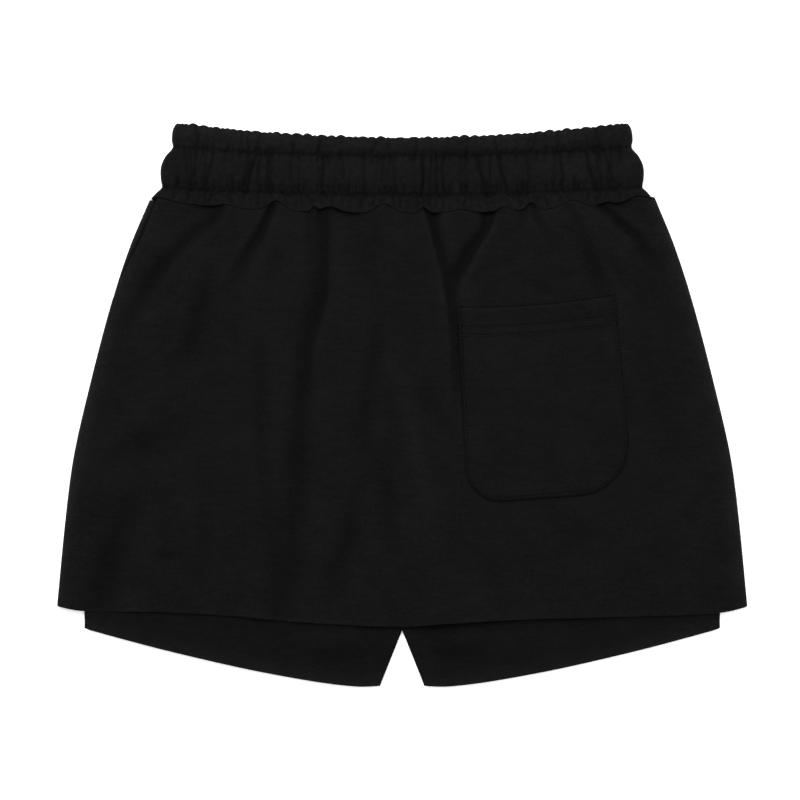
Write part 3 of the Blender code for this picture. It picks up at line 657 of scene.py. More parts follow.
# %% The troughs of the skirt's back
FOLDS = (
    # lean of a trough, -1 to 1: above 0, its right side is the gentler one; then its path: at each
    # point x and y in mm, depth in tenths of a mm, below 0 for a ridge, and half width in mm
    (-0.1, (-130, 143, 18, 3.2), (-134, 134, 20, 3.8), (-146, 124, 21, 4.5), (-159, 113, 21, 4.5),
     (-176, 94, 19, 5), (-186, 79, 16, 5.5), (-197, 60, 10, 6.5), (-208, 48, 3, 7)),
    (0, (-167, 142, -3, 7), (-176, 122, -9, 7), (-186, 101, -9, 6), (-195, 83, -3, 5)),
    (0, (-133, 117, -3, 6), (-151, 94, -9, 8), (-166, 75, -11, 9), (-184, 54, -10, 9), (-196, 34, -4, 8)),
    (0.3, (-94, 142, 30, 2.4), (-97, 135, 36, 3), (-102, 124, 36, 3.8), (-111, 109, 28, 4.5),
     (-119, 94, 18, 5.5), (-124, 80, 10, 7), (-128, 66, 3, 8)),
    (0.4, (-138, 94, 6, 8), (-143, 77, 16, 9), (-149, 58, 20, 9), (-157, 38, 19, 7), (-172, 28, 6, 5)),
    (-0.45, (-57, 142, 24, 6.2), (-55, 128, 26, 6.8), (-56, 98, 25, 7), (-57, 79, 28, 7.4),
     (-62, 60, 30, 7.4), (-68, 37, 19, 7), (-71, 7, 0, 7.4)),
    (0, (-62, 60, 0, 6.4), (-68, 37, 9, 6.4), (-71, 7, 24, 7), (-74, -20, 22, 7.8), (-76, -60, 19, 9),
     (-79, -103, 17, 10.5), (-85, -148, 12, 11.5)),
    (0, (-66, 141, 12, 2.4), (-67, 120, 12, 2.4), (-67, 100, 3, 2.4)),
    (0, (-42, 138, -4, 4.5), (-43, 105, -8, 5), (-44, 65, -7, 6), (-48, 30, -3, 7)),
    (0.2, (-104, 52, 3, 6), (-102, 15, 13, 7), (-101, -38, 14, 6), (-98, -76, 11, 6), (-93, -115, 12, 9),
     (-92, -145, 8, 10)),
    (0, (-21, 130, 3, 6), (-21, 98, 7, 6), (-19, 60, 9, 6), (-19, 38, 15, 6), (-26, 0, 13, 6),
     (-26, -30, 11, 7), (-24, -50, 4, 7)),
    (-0.2, (-12, -28, 4, 6), (-10, -58, 14, 6), (-8, -85, 15, 7), (-5, -104, 4, 7)),
    (0, (-27, -52, 4, 6), (-34, -78, 12, 7), (-42, -106, 18, 8), (-53, -124, 12, 9), (-58, -145, 4, 9)),
    (0, (-7, 26, -4, 5), (5, -10, -14, 6), (14, -50, -13, 7), (20, -85, -10, 9), (23, -115, -3, 10)),
    (0, (10, 34, 4, 6), (19, 8, 12, 7), (30, -15, 13, 6), (40, -36, 3, 6)),
    (0.45, (18, 141, 38, 3.2), (23, 121, 38, 3.8), (28, 103, 37, 4.2), (32, 85, 34, 4.6),
     (36, 60, 27, 4.4), (38, 32, 21, 4.6), (38, 5, 14, 5), (37, -20, 4, 6)),
    (0, (47, 130, 8, 7), (43, 110, 26, 6.5), (38, 93, 20, 4.2)),
    (-0.35, (64, 142, 48, 3.2), (61, 127, 50, 3.8), (52, 112, 48, 4), (44, 97, 36, 4.2),
     (38, 83, 12, 4.6)),
    (0.2, (94, 142, 22, 2.4), (96, 134, 18, 3), (101, 126, 10, 3), (106, 118, 14, 3.6),
     (109, 112, 4, 3.6)),
    (0, (108, 131, 3, 3), (115, 127, 10, 3.2), (122, 122, 3, 3)),
    (0, (79, 118, 3, 5), (81, 109, 8, 5), (80, 100, 3, 5)),
    (-0.2, (119, 142, 10, 3.4), (125, 134, 14, 4), (130, 123, 18, 4.6), (136, 106, 23, 5),
     (140, 95, 24, 5.4), (146, 82, 14, 6)),
    (0, (139, 116, 3, 3.6), (143, 110, 10, 4), (149, 102, 14, 4.6), (156, 94, 12, 5), (158, 84, 4, 5)),
    (-0.2, (143, 143, 20, 2.8), (150, 137, 26, 3), (158, 129, 30, 3.6), (168, 121, 28, 4),
     (174, 112, 25, 5), (182, 104, 16, 6), (190, 92, 4, 7)),
    (0, (113, 93, 3, 2.6), (120, 93, 9, 2.6), (127, 94, 3, 2.6)),
    (0, (84, 92, 4, 3.4), (95, 85, 11, 3.6), (112, 78, 4, 3.4)),
    (0, (88, 101, -2, 4), (103, 100, -7, 4.5), (116, 105, -2, 4)),
    (0, (-148, -12, 5, 11), (-168, -20, 15, 13), (-186, -30, 16, 12), (-204, -40, 7, 10)),
    (0, (-186, -8, -3, 7), (-199, -14, -9, 7), (-212, -24, -4, 7)),
    (0, (-180, -58, 5, 9), (-196, -68, 14, 10), (-210, -78, 16, 10), (-224, -86, 7, 9)),
    (0.2, (-194, -78, 8, 8.5), (-205, -95, 22, 10), (-212, -115, 28, 11), (-219, -145, 22, 11)),
    (0, (-184, -107, 4, 3.6), (-168, -109, 13, 3.8), (-151, -108, 4, 3.6)),
    (0, (-143, -47, 2, 6), (-141, -83, 8, 6), (-143, -126, 3, 6)),
    (0, (171, 103, 4, 8), (177, 76, 9, 9), (179, 47, 3, 9)),
    (0, (166, 40, 2, 9), (185, 8, 7, 10), (193, -30, 2, 10)),
    (0, (112, -88, 5, 11), (130, -96, 14, 13), (150, -94, 5, 11)),
    (0, (48, -100, 2, 9), (62, -118, 7, 9), (70, -140, 4, 9)),
)
TENTH_MM = 0.0001
MM = 0.001
FOLD_STEPS = 5  # straight steps between two points of a path
SHOULDER = 0.28  # the cloth beside a trough stands proud by this share of its depth
SHOULDER_AT = 1.9  # and this many half widths from its middle
FOLD_REACH = 3.5  # half widths beyond which a trough does nothing


def fold_path(fold):
    """A trough's smooth path, in steps, with its depth and half width at each."""
    lean, *points = fold
    stops = np.arange(len(points))
    at = np.linspace(0, stops[-1], FOLD_STEPS * stops[-1] + 1)
    *places, depths, halves = zip(*points)
    x, y = (through(list(zip(stops, column)), at) * MM for column in places)
    return x, y, np.interp(at, stops, depths) * TENTH_MM, np.interp(at, stops, halves) * MM, lean


def fold_depth(x, y, fold):
    """How far one trough lowers the cloth at each place; below zero on its shoulders."""
    path_x, path_y, depth, half, lean = fold_path(fold)
    reach = FOLD_REACH * half.max()
    near = (x > path_x.min() - reach) & (x < path_x.max() + reach)
    near &= (y > path_y.min() - reach) & (y < path_y.max() + reach)
    near_x, near_y = x[near], y[near]
    nearest = np.full(near_x.shape, 1.0)
    place, sided = np.zeros_like(near_x), np.zeros_like(near_x)
    for step in range(len(path_x) - 1):
        run_x, run_y = path_x[step + 1] - path_x[step], path_y[step + 1] - path_y[step]
        off_x, off_y = near_x - path_x[step], near_y - path_y[step]
        share = np.clip((off_x * run_x + off_y * run_y) / (run_x**2 + run_y**2), 0, 1)
        off_x, off_y = off_x - share * run_x, off_y - share * run_y
        away = np.hypot(off_x, off_y)
        closer = away < nearest
        nearest = np.where(closer, away, nearest)
        place = np.where(closer, step + share, place)
        turned = (off_y * run_x - off_x * run_y) / (away * math.hypot(run_x, run_y) + 1e-9)
        sided = np.where(closer, turned, sided)
    steps = np.arange(len(path_x))
    widths = nearest / (np.interp(place, steps, half) * (1 + lean * sided))
    across = bump(widths, 1) - SHOULDER * bump(widths - SHOULDER_AT, 1)
    lowered = np.zeros_like(x)
    lowered[near] = np.interp(place, steps, depth) * across
    return lowered


print("troughs:", len(FOLDS))

# %% [markdown]
# ## The skirt's back
#
# Below the waist seam the gathered cloth springs up from under the band's lower edge, lies highest
# over the hips, and comes down to the hem. At the sides it rolls down to the side seam. The height is
# one function of x and y, so the pocket can use it too.

# %% Heights of the back
SEAM_ARCHES = (
    # x, rise, half width: where the gathers pull the waist seam up
    (-0.174, 0.0022, 0.009), (-0.127, 0.0022, 0.007), (-0.0905, 0.0072, 0.0075),
    (-0.0634, 0.0034, 0.0025), (-0.052, 0.0042, 0.009), (-0.013, 0.0066, 0.0085),
    (0.015, 0.0042, 0.004), (0.042, 0.0024, 0.008), (0.0735, 0.0036, 0.006),
    (0.0925, 0.0058, 0.0045), (0.1222, 0.0054, 0.0095), (0.147, 0.0022, 0.006),
    (0.169, 0.004, 0.009),
)
SEAM_HOLLOWS = (
    # x, depth, half width: where the cloth sinks away under the band, and a thick painted shadow is laid on
    # it
    (-0.139, 0.0026, 0.01), (-0.093, 0.0022, 0.005), (-0.046, 0.0028, 0.018),
    (0.02, 0.0036, 0.0065), (0.062, 0.004, 0.008), (0.09, 0.0022, 0.005), (0.151, 0.0026, 0.013),
)
HEM_WAVES = (
    # x, rise of the hem, half width
    (-0.165, 0.0004, 0.024), (-0.086, 0.0005, 0.022), (-0.016, 0.0018, 0.018),
    (0.036, 0.0036, 0.024), (0.118, 0.001, 0.026),
)
HEM_WAVE_REACH = 0.0500
LOFT_SEAM = 0.0004  # height over the resting cloth, just under the band
LOFT_WAIST = 0.0036  # a finger's width lower
LOFT_FULL = 0.0044
LOFT_HEM = 0.0012
LOFT_LEAST = -0.0004
SPRING = 0.0032  # the cloth springs up over this stretch below the seam
SPRUNG = 0.2  # and is this share of the way up at the seam itself
HOLLOW_REACH = 0.0080
RISE = 0.0180
FALL = 0.0900


def smooth_max(value, least, soft=0.0005):
    return (value + least + np.sqrt((value - least) ** 2 + soft**2)) / 2


def below_seam(x, y):
    return waist_line("seam", x) + bumps(x, SEAM_ARCHES) - y


def fold_sum(x, y):
    """All that lowers the cloth: the folds, and the hollows under the band."""
    folds = sum(fold_depth(x, y, fold) for fold in FOLDS)
    return folds + bumps(x, SEAM_HOLLOWS) * bump(below_seam(x, y), HOLLOW_REACH)


def back_crown(x, y):
    """Height of the back's outer face, before it rolls down to its side seams."""
    above_hem = y - skirt_hem(x)
    loft = mix(LOFT_WAIST, LOFT_FULL, ease(below_seam(x, y) / RISE))
    loft = mix(LOFT_HEM, loft, ease(above_hem / FALL))
    loft = loft + (1 - ease(above_hem / HEM_WAVE_REACH)) * bumps(x, HEM_WAVES) - fold_sum(x, y)
    loft = mix(LOFT_SEAM, loft, ease(SPRUNG + below_seam(x, y) / SPRING))
    return BACK_REST + CLOTH + smooth_max(loft, LOFT_LEAST)


print("height over the hips, mm:", (back_crown(np.array([0.0]), np.array([0.1])) * 1000).round(1))

# %% [markdown]
# ## The sides
#
# A laid skirt is a flattened tube. The front's cloth turns up at the side to the seam, and the back's
# rolls down to it, wide and soft. At the top of the left side the seam is pulled round onto the back,
# so a narrow strip of the front shows outside it.

# %% The rolled sides
SIDE_ROLL = 0.0140
LOW_ROUND = 0.0030
SEAM_HEIGHT = 0.0026
SIDE_SEAM_GAP = 0.0005
SEAM_GROOVE = 0.0007  # sewing draws the cloth in at the side seam
SEAM_GROOVE_HALF = 0.0012
STRIP_WIDTH = 0.0060
STRIP_END = 0.0680
STRIP_TAPER = 0.0550
CROWDING = 1.15  # above 1, places lie closer together where they start
QUARTER = math.pi / 2


def side_round(turn, crown, seam_height):
    """How far in from the side, and how high: -90 degrees lies on the surface, 90 at the crown."""
    low = turn < 0
    inward = np.where(low, LOW_ROUND, SIDE_ROLL) * (1 - np.cos(turn))
    rolled = mix(seam_height, crown, np.sin(turn))
    return inward, np.where(low, seam_height * (1 + np.sin(turn)), rolled)


def seam_turn(side, y):
    width = STRIP_WIDTH * ease((y - STRIP_END) / STRIP_TAPER)
    return np.where(side > 0, 0.0, np.arccos(1 - width / SIDE_ROLL))


def side_y(down):
    return mix(WAIST_SIDE - GAP, HEM_SIDE, down)


def crowded_start(count):
    return np.linspace(0, 1, count) ** CROWDING


def panel_places(columns, turned, rows):
    """Places across, -1 to 1 between the side rolls and on to -2 and 2 at the side seams, and down."""
    roll = 1 + np.linspace(0, 1, turned + 1)[1:]
    across = np.concatenate([-roll[::-1], np.linspace(-1, 1, columns), roll])
    return np.meshgrid(across, crowded_start(rows))


def side_split(across, down):
    """Which side each place is on, how far round the side's roll, and the skirt's half width."""
    return np.sign(across), np.clip(np.abs(across) - 1, 0, 1), skirt_half(side_y(down))


print("the front's strip ends at y, mm:", round(STRIP_END * 1000, 1))


# %% The back panel
BACK_GRID = (230, 26, 190)  # columns, columns in each side roll, and rows
TUCK = 0.0012  # the back's top edge goes this far under the band's lower edge
DEEP_FOLD = 0.0032  # painted shade: a fold this deep is painted as dark as it gets
BLACKEST = -2.3  # and where no light reaches, the painted shade is at most this dark
CUT_EDGE = 0.6  # how much lighter a raw-cut edge is
CUT_EDGE_REACH = 0.0014
SEAM_SHADE = 0.0020  # painted shadow: the cloth is painted darkest over this stretch below the band
# strength of the painted shadow under the band
SEAM_PAINTED_SHADOW = 1.8
SEAM_PAINTED_SHADOW_LEAST = 0.28  # share of that painted shadow where the cloth has no hollow
# painted shade in the side seam's groove
GROOVE_PAINTED_SHADE = 2.6
SIDE_SHEEN = 0.7  # painted sheen: the cloth is painted lighter toward the sides
SIDE_SHEEN_REACH = 0.0180
STIFFENING = 3  # the side roll is free of rucks beyond one part in this many


def back_line(x, down):
    return mix(waist_line("seam", x) + bumps(x, SEAM_ARCHES) + TUCK, skirt_hem(x), down)


def back_panel():
    across, down = panel_places(*BACK_GRID)
    side, turned, half = side_split(across, down)
    x = np.clip(across, -1, 1) * (half - SIDE_ROLL)
    y = back_line(x, down)
    crown = back_crown(x, y)
    start = seam_turn(side, side_y(down)) + SIDE_SEAM_GAP / SIDE_ROLL
    inward, z = side_round(mix(QUARTER, start, turned), crown, SEAM_HEIGHT + SIDE_SEAM_GAP)
    groove = bump((1 - turned) * SIDE_ROLL * (QUARTER - start), SEAM_GROOVE_HALF)
    z = z - SEAM_GROOVE * groove
    # painted shade in the troughs, ridges lighter as wear and painted highlight, and a lighter cut edge
    proud = np.clip(-fold_sum(x, y) / DEEP_FOLD, -1, 1) + CUT_EDGE * bump(y - skirt_hem(x), CUT_EDGE_REACH)
    # painted shadow under the band's lower edge, thickest in its hollows
    band_shadow = SEAM_PAINTED_SHADOW_LEAST + bumps(x, SEAM_HOLLOWS) / DEEP_FOLD
    proud = (proud - SEAM_PAINTED_SHADOW * band_shadow * bump(below_seam(x, y), SEAM_SHADE)) * (1 - turned)
    x = np.where(turned > 0, side * (half - inward), x)
    z = np.where(turned > 0, z, crown)
    # painted sheen toward the sides
    proud = proud + SIDE_SHEEN * (1 - ease((half - np.abs(x)) / SIDE_SHEEN_REACH))
    # painted shade in the side seam's groove
    proud = np.maximum(proud - GROOVE_PAINTED_SHADE * groove, BLACKEST)
    outer = np.stack([x, back_line(x, down), z], axis=2)
    inner = outer - normals_of(outer) * CLOTH
    return cloth_body("skirt_back_cloth", outer, inner, proud, 1 - ease(turned * STIFFENING))


SKIRT_RUCKS = {"Across": 70.0, "Down": 14.0, "Depth": 0.0005, "Sharpness": 2.0, "Seed": 2.0}
skirt_back = made_by(rucked_cloth, back_panel(), SKIRT_RUCKS | {"Material": skirt_material})
print("skirt back:", len(skirt_back.data.polygons), "faces")

# %% [markdown]
# ## The skirt's front
#
# It lies on the surface and only its turned-up edges show. Its own gathers are soft hollows on the
# underside, as cloth that is pressed flat by what lies on it.

# %% The front panel
FRONT_HEM_LIFT = 0.0020
FRONT_FOLDS = (
    # x at the waist, x at its end, length, depth
    (-0.128, -0.15, 0.07, 0.0007), (-0.082, -0.09, 0.11, 0.0009), (-0.035, -0.03, 0.08, 0.0006),
    (0.018, 0.028, 0.12, 0.0009), (0.066, 0.074, 0.06, 0.0007), (0.112, 0.132, 0.09, 0.0008),
)
FRONT_FOLD_HALF = 0.0050
FRONT_GRID = (120, 24, 110)
FRONT_EDGE_HIGHLIGHT = 0.3  # painted highlight: the front is painted lighter, and only its turned-up edge shows
# painted shade in the side seam's groove
FRONT_GROOVE_PAINTED_SHADE = 1.7


def front_line(x, down):
    return mix(waist_line("seam", x) - GAP, skirt_hem(x) + FRONT_HEM_LIFT, down)


def front_hollow(x, y):
    """How far the underside stands off the surface in its soft gathers."""
    below = waist_line("seam", x) - y
    return sum(
        depth * ease(1 - below / length) * bump(x - mix(start, end, below / length), FRONT_FOLD_HALF)
        for start, end, length, depth in FRONT_FOLDS
    )


def front_panel():
    across, down = panel_places(*FRONT_GRID)
    side, turned, half = side_split(across, down)
    x = np.clip(across, -1, 1) * (half - LOW_ROUND)
    roll_x = side * (half - SIDE_ROLL)
    crown = back_crown(roll_x, back_line(roll_x, down))
    start = seam_turn(side, side_y(down))
    inward, z = side_round(mix(-QUARTER, start, turned), crown, SEAM_HEIGHT)
    x = np.where(turned > 0, side * (half - inward), x)
    y = front_line(x, down)
    groove = bump((1 - turned) * (QUARTER * LOW_ROUND + SIDE_ROLL * start), SEAM_GROOVE_HALF)
    z = np.where(turned > 0, z - SEAM_GROOVE * groove * ease(z / SEAM_HEIGHT), front_hollow(x, y))
    under = np.stack([x, y, z], axis=2)
    over = under + normals_of(under) * CLOTH
    # painted highlight on the turned-up edge and painted shade in the seam's groove
    return cloth_body("skirt_front_cloth", over, under, FRONT_EDGE_HIGHLIGHT - FRONT_GROOVE_PAINTED_SHADE * groove, 0.0)


skirt_front = front_panel()
skirt_front.data.materials.append(skirt_material)
print("skirt front:", len(skirt_front.data.polygons), "faces")

# %% [markdown]
# ## The shorts
#
# Each leg is a front and a back panel. They lie on the skirt's front, come down onto the surface past
# its hem, and show below the skirt. Their raw-cut hems lift a little, as cut knit curls.

# %% The four panels of the shorts
SHORTS_INSET_WAIST = 0.0125
SHORTS_INSET_HEM = 0.0202
SHORTS_HEM_HALF = 0.2282
SHORTS_HEM_SIDE = -0.1606
SHORTS_HEM_LOW = -0.2024
SHORTS_HEM_LOW_X = 0.0300
SHORTS_HEM_BOW = 1.34
SHORTS_FRONT_LIFT = 0.0015
CROTCH_Y = -0.1613
INSEAM_SLOPE = 0.397
INSEAM_CORNER = 0.0006
HEM_CLEAR = 0.0008
DRAPE_OFF = 0.0120
DRAPE_SHARE = 0.6
LEG_WAVES = (
    # x, rise, half width of a soft wave in a leg's hem
    (0.056, 0.0007, 0.016), (0.112, 0.0005, 0.018), (0.175, 0.0006, 0.02),
)
HEM_SHADOWS = (
    # x, share, half width: where the skirt's hem arches, and a painted shadow lies on the cloth under it
    (-0.016, 0.3, 0.018), (0.024, 1, 0.015), (0.056, 0.7, 0.03), (0.12, 0.3, 0.05),
)
HEM_SHADOW_REACH = 0.0042
HEM_SHADOW = 1.5
LEG_PAINTED_SHADES = (
    # x, y, half width of a soft painted shade on a leg
    (-0.048, -0.178, 0.026), (0.038, -0.177, 0.019),
)
# how dark that painted shade is
LEG_PAINTED_SHADE = 0.8
LEG_PAINTED_SHADE_HIGH = 0.006  # its half height
HEM_CURL = 0.0007
HEM_CURL_REACH = 0.0040
PALE_HEM = 0.7  # the legs are lighter above their hems
PALE_HEM_REACH = 0.0140
LANDING = 1.2  # the lines of a leg below this one lie low, and can wave; see leg_line
LEG_COLUMNS = 80
LEG_ROWS = (36, 13, 32)  # for each part of a leg that leg_line tells apart


def shorts_side(y):
    past = (HEM_SIDE - y) / (HEM_SIDE - SHORTS_HEM_SIDE)
    below = mix(HEM_HALF - SHORTS_INSET_HEM, SHORTS_HEM_HALF, past)
    inset = mix(SHORTS_INSET_WAIST, SHORTS_INSET_HEM, (WAIST_SIDE - y) / (WAIST_SIDE - HEM_SIDE))
    return np.where(y < HEM_SIDE, below, skirt_half(y) - inset)


def shorts_hem(x):
    corner = (CROTCH_Y - SHORTS_HEM_LOW) * INSEAM_SLOPE
    rise = INSEAM_CORNER * np.clip(1 - (x - corner) / (SHORTS_HEM_LOW_X - corner), 0, 1) ** 2
    out = np.clip((x - SHORTS_HEM_LOW_X) / (SHORTS_HEM_HALF - SHORTS_HEM_LOW_X), 0, 1)
    return mix(SHORTS_HEM_LOW, SHORTS_HEM_SIDE, out**SHORTS_HEM_BOW) + rise


def leg_line(x, down, lift):
    """y of a line across a leg: 0 at the waist seam, 1 just past the hem of the skirt's front, 2 where
    the leg lies on the surface, 3 at its own hem."""
    past_skirt = skirt_hem(x) + FRONT_HEM_LIFT - HEM_CLEAR
    hem = shorts_hem(np.abs(x)) + lift
    landed = past_skirt - np.minimum(DRAPE_OFF, DRAPE_SHARE * (past_skirt - hem))
    upper = mix(waist_line("seam", x) - GAP, past_skirt, down)
    lower = np.where(down < 2, mix(past_skirt, landed, down - 1), mix(landed, hem, down - 2))
    return np.where(down < 1, upper, lower)


def shorts_panel(name, side, rest, lift, waves):
    """`rest` is the height of the panel's underside, and `waves` scales its hem's waves and curl."""
    share = crowded_start(LEG_COLUMNS)
    rows = joined(*(np.linspace(part, part + 1, count) for part, count in enumerate(LEG_ROWS)))
    share, down = np.meshgrid(share if side > 0 else share[::-1], rows)
    inseam_y = leg_line(np.zeros_like(down), down, lift)
    inner = GAP / 2 + np.maximum(CROTCH_Y - inseam_y, 0.0) * INSEAM_SLOPE
    outer = shorts_side(leg_line(np.full_like(down, side * SHORTS_HEM_HALF), down, lift))
    x = side * mix(inner, outer, share)
    y = leg_line(x, down, lift)
    above_hem = y - shorts_hem(np.abs(x)) - lift
    z = rest - SHORTS_FRONT_REST * ease(down - 1)
    z = z + waves * ease(down - LANDING) * bumps(np.abs(x), LEG_WAVES)
    z = z + waves * HEM_CURL * bump(above_hem, HEM_CURL_REACH)
    under = np.stack([x, y, z], axis=2)
    over = under + normals_of(under) * CLOTH
    proud = PALE_HEM * (1 - ease(above_hem / PALE_HEM_REACH)) + CUT_EDGE * bump(above_hem, CUT_EDGE_REACH)
    # painted shadow under the skirt's arched hem
    shadow = np.clip(bumps(x, HEM_SHADOWS), 0, 1) * bump(skirt_hem(x) - y, HEM_SHADOW_REACH)
    # soft painted shade on the legs
    leg_shades = sum(bump(np.hypot((x - at) / wide, (y - level) / LEG_PAINTED_SHADE_HIGH), 1) for at, level, wide in LEG_PAINTED_SHADES)
    proud = proud - HEM_SHADOW * shadow - LEG_PAINTED_SHADE * leg_shades
    piece = cloth_body(name, over, under, np.clip(proud, BLACKEST, 1), 0.0)
    piece.data.materials.append(shorts_material)
    return piece


LEGS = ((-1, "left"), (1, "right"))
LAYERS = (
    # layer, height of its underside, how much shorter it is, its waves
    ("front", SHORTS_FRONT_REST, SHORTS_FRONT_LIFT, 0.0),
    ("back", SHORTS_BACK_REST, 0.0, 1.0),
)
shorts = {}
for side, word in LEGS:
    for layer, *given in LAYERS:
        node = f"shorts_{layer}_{word}"
        shorts[node] = shorts_panel(node + "_cloth", side, *given)
print("shorts:", ", ".join(piece.name for piece in shorts.values()))

# %% [markdown]
# ## The patch pocket
#
# The pocket is laid on the back's own surface. Its edges are turned under and stitched down, so it is
# thickest just inside its outline, and its mouth is a folded hem with two rows of stitches, which sink
# into the cloth.

# %% The pocket
POCKET_TOP = np.array((0.0953, 0.0750))
POCKET_TILT = math.radians(4.4)
POCKET_MOUTH = 0.1145
POCKET_FOOT = 0.1185
POCKET_DEEP = 0.1418
POCKET_CORNERS = {-1: 0.0250, 1: 0.0380}
POCKET_ROUND = max(POCKET_CORNERS.values())
POCKET_STRAIGHT = POCKET_DEEP - POCKET_ROUND  # the sides are straight down to here
POCKET_SAG = 0.0029  # the mouth and its hem sag by this much between the corners
POCKET_HEM_ROWS = (0.0148, 0.0209)  # depth of its two stitch rows below the mouth
POCKET_EDGE_STITCH = 0.0021  # how far inside the outline the edge is stitched
POCKET_OFF = 0.0003
POCKET_WALL = 0.0015
POCKET_HEM_EXTRA = 0.0005
POCKET_TURNED = 0.0085  # width of the turned-under edge
POCKET_TURNED_EXTRA = 0.0004
TURNED_STEP = 0.0020  # the inner edges of the turned cloth and of the hem show through this softly
HEM_STEP = 0.0012
STITCH_SINK = 0.0006
STITCH_SINK_HALF = 0.0009
EDGE_FALL = 0.0011  # the folded edge comes down by this much
EDGE_FALL_REACH = 0.0008
MOUTH_HIGHLIGHT = 0.5  # painted highlight on the mouth's fold, just inside its edge
MOUTH_HIGHLIGHT_AT = 0.0022
MOUTH_HIGHLIGHT_HALF = 0.0013
# painted shade along the pocket's outline
EDGE_PAINTED_SHADE = 0.8
# the darkest the pocket's painted shade gets
POCKET_DARKEST = -2
POCKET_RIM = 0.25
pocket_down = np.array((math.sin(POCKET_TILT), -math.cos(POCKET_TILT)))
pocket_right = np.array((math.cos(POCKET_TILT), math.sin(POCKET_TILT)))


def pocket_half(down):
    return mix(POCKET_MOUTH, POCKET_FOOT, down / POCKET_DEEP) / 2


def pocket_reach(side, down):
    radius = np.where(side > 0, POCKET_CORNERS[1], POCKET_CORNERS[-1])
    past = np.clip(down - (POCKET_DEEP - radius), 0, radius)
    return pocket_half(down) - radius + np.sqrt(radius**2 - past**2)


def pocket_edge(across, down):
    """Distance from the pocket's sides and foot, measured inwards."""
    radius = np.where(across < 0, POCKET_CORNERS[-1], POCKET_CORNERS[1])
    from_side = pocket_half(down) - np.abs(across)
    from_foot = POCKET_DEEP - down
    in_corner = (from_side < radius) & (from_foot < radius)
    round_edge = radius - np.hypot(radius - from_side, radius - from_foot)
    return np.where(in_corner, round_edge, np.minimum(from_side, from_foot))


def stitch_lines(edge, down):
    """1 along the stitch rows, fading to 0 beside them."""
    hem = sum(bump(down - row, STITCH_SINK_HALF) for row in POCKET_HEM_ROWS)
    return np.clip(hem + bump(edge - POCKET_EDGE_STITCH, STITCH_SINK_HALF), 0, 1)


def pocket_thickness(edge, down):
    past_turned = (edge - POCKET_TURNED + TURNED_STEP / 2) / TURNED_STEP
    past_hem = (down - POCKET_HEM_ROWS[1] - HEM_STEP / 2) / HEM_STEP
    thick = POCKET_WALL + POCKET_TURNED_EXTRA * (1 - ease(past_turned))
    thick = thick + POCKET_HEM_EXTRA * (1 - ease(past_hem))
    thick = thick - STITCH_SINK * stitch_lines(edge, down)
    return thick - EDGE_FALL * bump(np.minimum(edge, down), EDGE_FALL_REACH)


def pocket_place(across, down):
    """x and y of a place on the pocket, whose mouth sags most and whose foot hardly does."""
    share = across / pocket_half(down)
    sag = POCKET_SAG * (1 - share**2) * (1 - down / POCKET_DEEP)
    place = POCKET_TOP + pocket_right * across[..., None] + pocket_down * (down + sag)[..., None]
    return place[..., 0], place[..., 1]


def crowded(count, power=0.55):
    """Places from -1 to 1, closer together at both ends."""
    even = np.linspace(-1, 1, count)
    return np.sign(even) * (1 - (1 - np.abs(even)) ** (1 / power))


def pocket_panel():
    rows = joined(
        np.linspace(0, 0.004, 10),
        np.linspace(0.004, 0.026, 36),
        np.linspace(0.026, POCKET_STRAIGHT, 42),
        POCKET_STRAIGHT + POCKET_ROUND * np.sin(np.linspace(0, QUARTER, 48)),
    )
    share, down = np.meshgrid(crowded(112), rows)
    across = share * pocket_reach(share, down)
    x, y = pocket_place(across, down)
    edge = pocket_edge(across, down)
    base = back_crown(x, y) + POCKET_OFF
    under = np.stack([x, y, base], axis=2)
    over = np.stack([x, y, base + pocket_thickness(edge, down)], axis=2)
    # painted shade in the folds, ridges lighter as wear and painted highlight, and a painted highlight on the
    # mouth's fold
    proud = -fold_sum(x, y) / DEEP_FOLD + MOUTH_HIGHLIGHT * bump(down - MOUTH_HIGHLIGHT_AT, MOUTH_HIGHLIGHT_HALF)
    # painted shade along the stitch rows and the outline
    proud = proud - stitch_lines(edge, down) - EDGE_PAINTED_SHADE * bump(np.minimum(edge, down), EDGE_FALL_REACH)
    # painted shadow along the mouth
    proud = np.clip(proud - bump(down, EDGE_FALL_REACH), POCKET_DARKEST, 1)
    return cloth_body("back_pocket_cloth", over, under, proud, 1.0, rim=POCKET_RIM)


back_pocket = made_by(rucked_cloth, pocket_panel(), SKIRT_RUCKS | {"Material": pocket_material})
print("pocket:", len(back_pocket.data.polygons), "faces")

# %% [markdown]
# ## The waistband
#
# A strip of the knit is folded over two widths of elastic and stitched across, so it puffs up in a
# narrow and a wide channel and is pinched at the stitches. The elastic pulls it into gathers: creases
# that run across each channel, some deep and leaning, with short puckers at the stitches. It is built
# as rings that run all round the flattened band, one above the other, and then down its inside.

# %% Rows and gathers of the band
BAND_PROFILE = (
    # row (0 seam, 1 lower stitch, 2 upper stitch, 3 top), height of the back's face
    (0, 0.0087), (0.12, 0.009), (0.3, 0.0087), (0.6, 0.0081), (0.93, 0.0075), (1, 0.0073),
    (1.07, 0.0083), (1.25, 0.0096), (1.5, 0.0101), (1.75, 0.0096), (1.93, 0.0084), (2, 0.0074),
    (2.1, 0.0084), (2.4, 0.0092), (2.7, 0.0089), (2.9, 0.0077), (3, 0.0064),
)
BAND_WIDTHS = (
    # row, half width
    (0, 0.1806), (0.5, 0.1768), (1, 0.1728), (1.2, 0.1736), (1.5, 0.1734), (1.78, 0.17),
    (2, 0.1652), (2.3, 0.1657), (2.7, 0.165), (2.9, 0.1636), (3, 0.1622),
)
BAND_FRONT_TOP = 0.0040  # the slit between the band's front and back
BAND_BACK_LOW = 0.0048
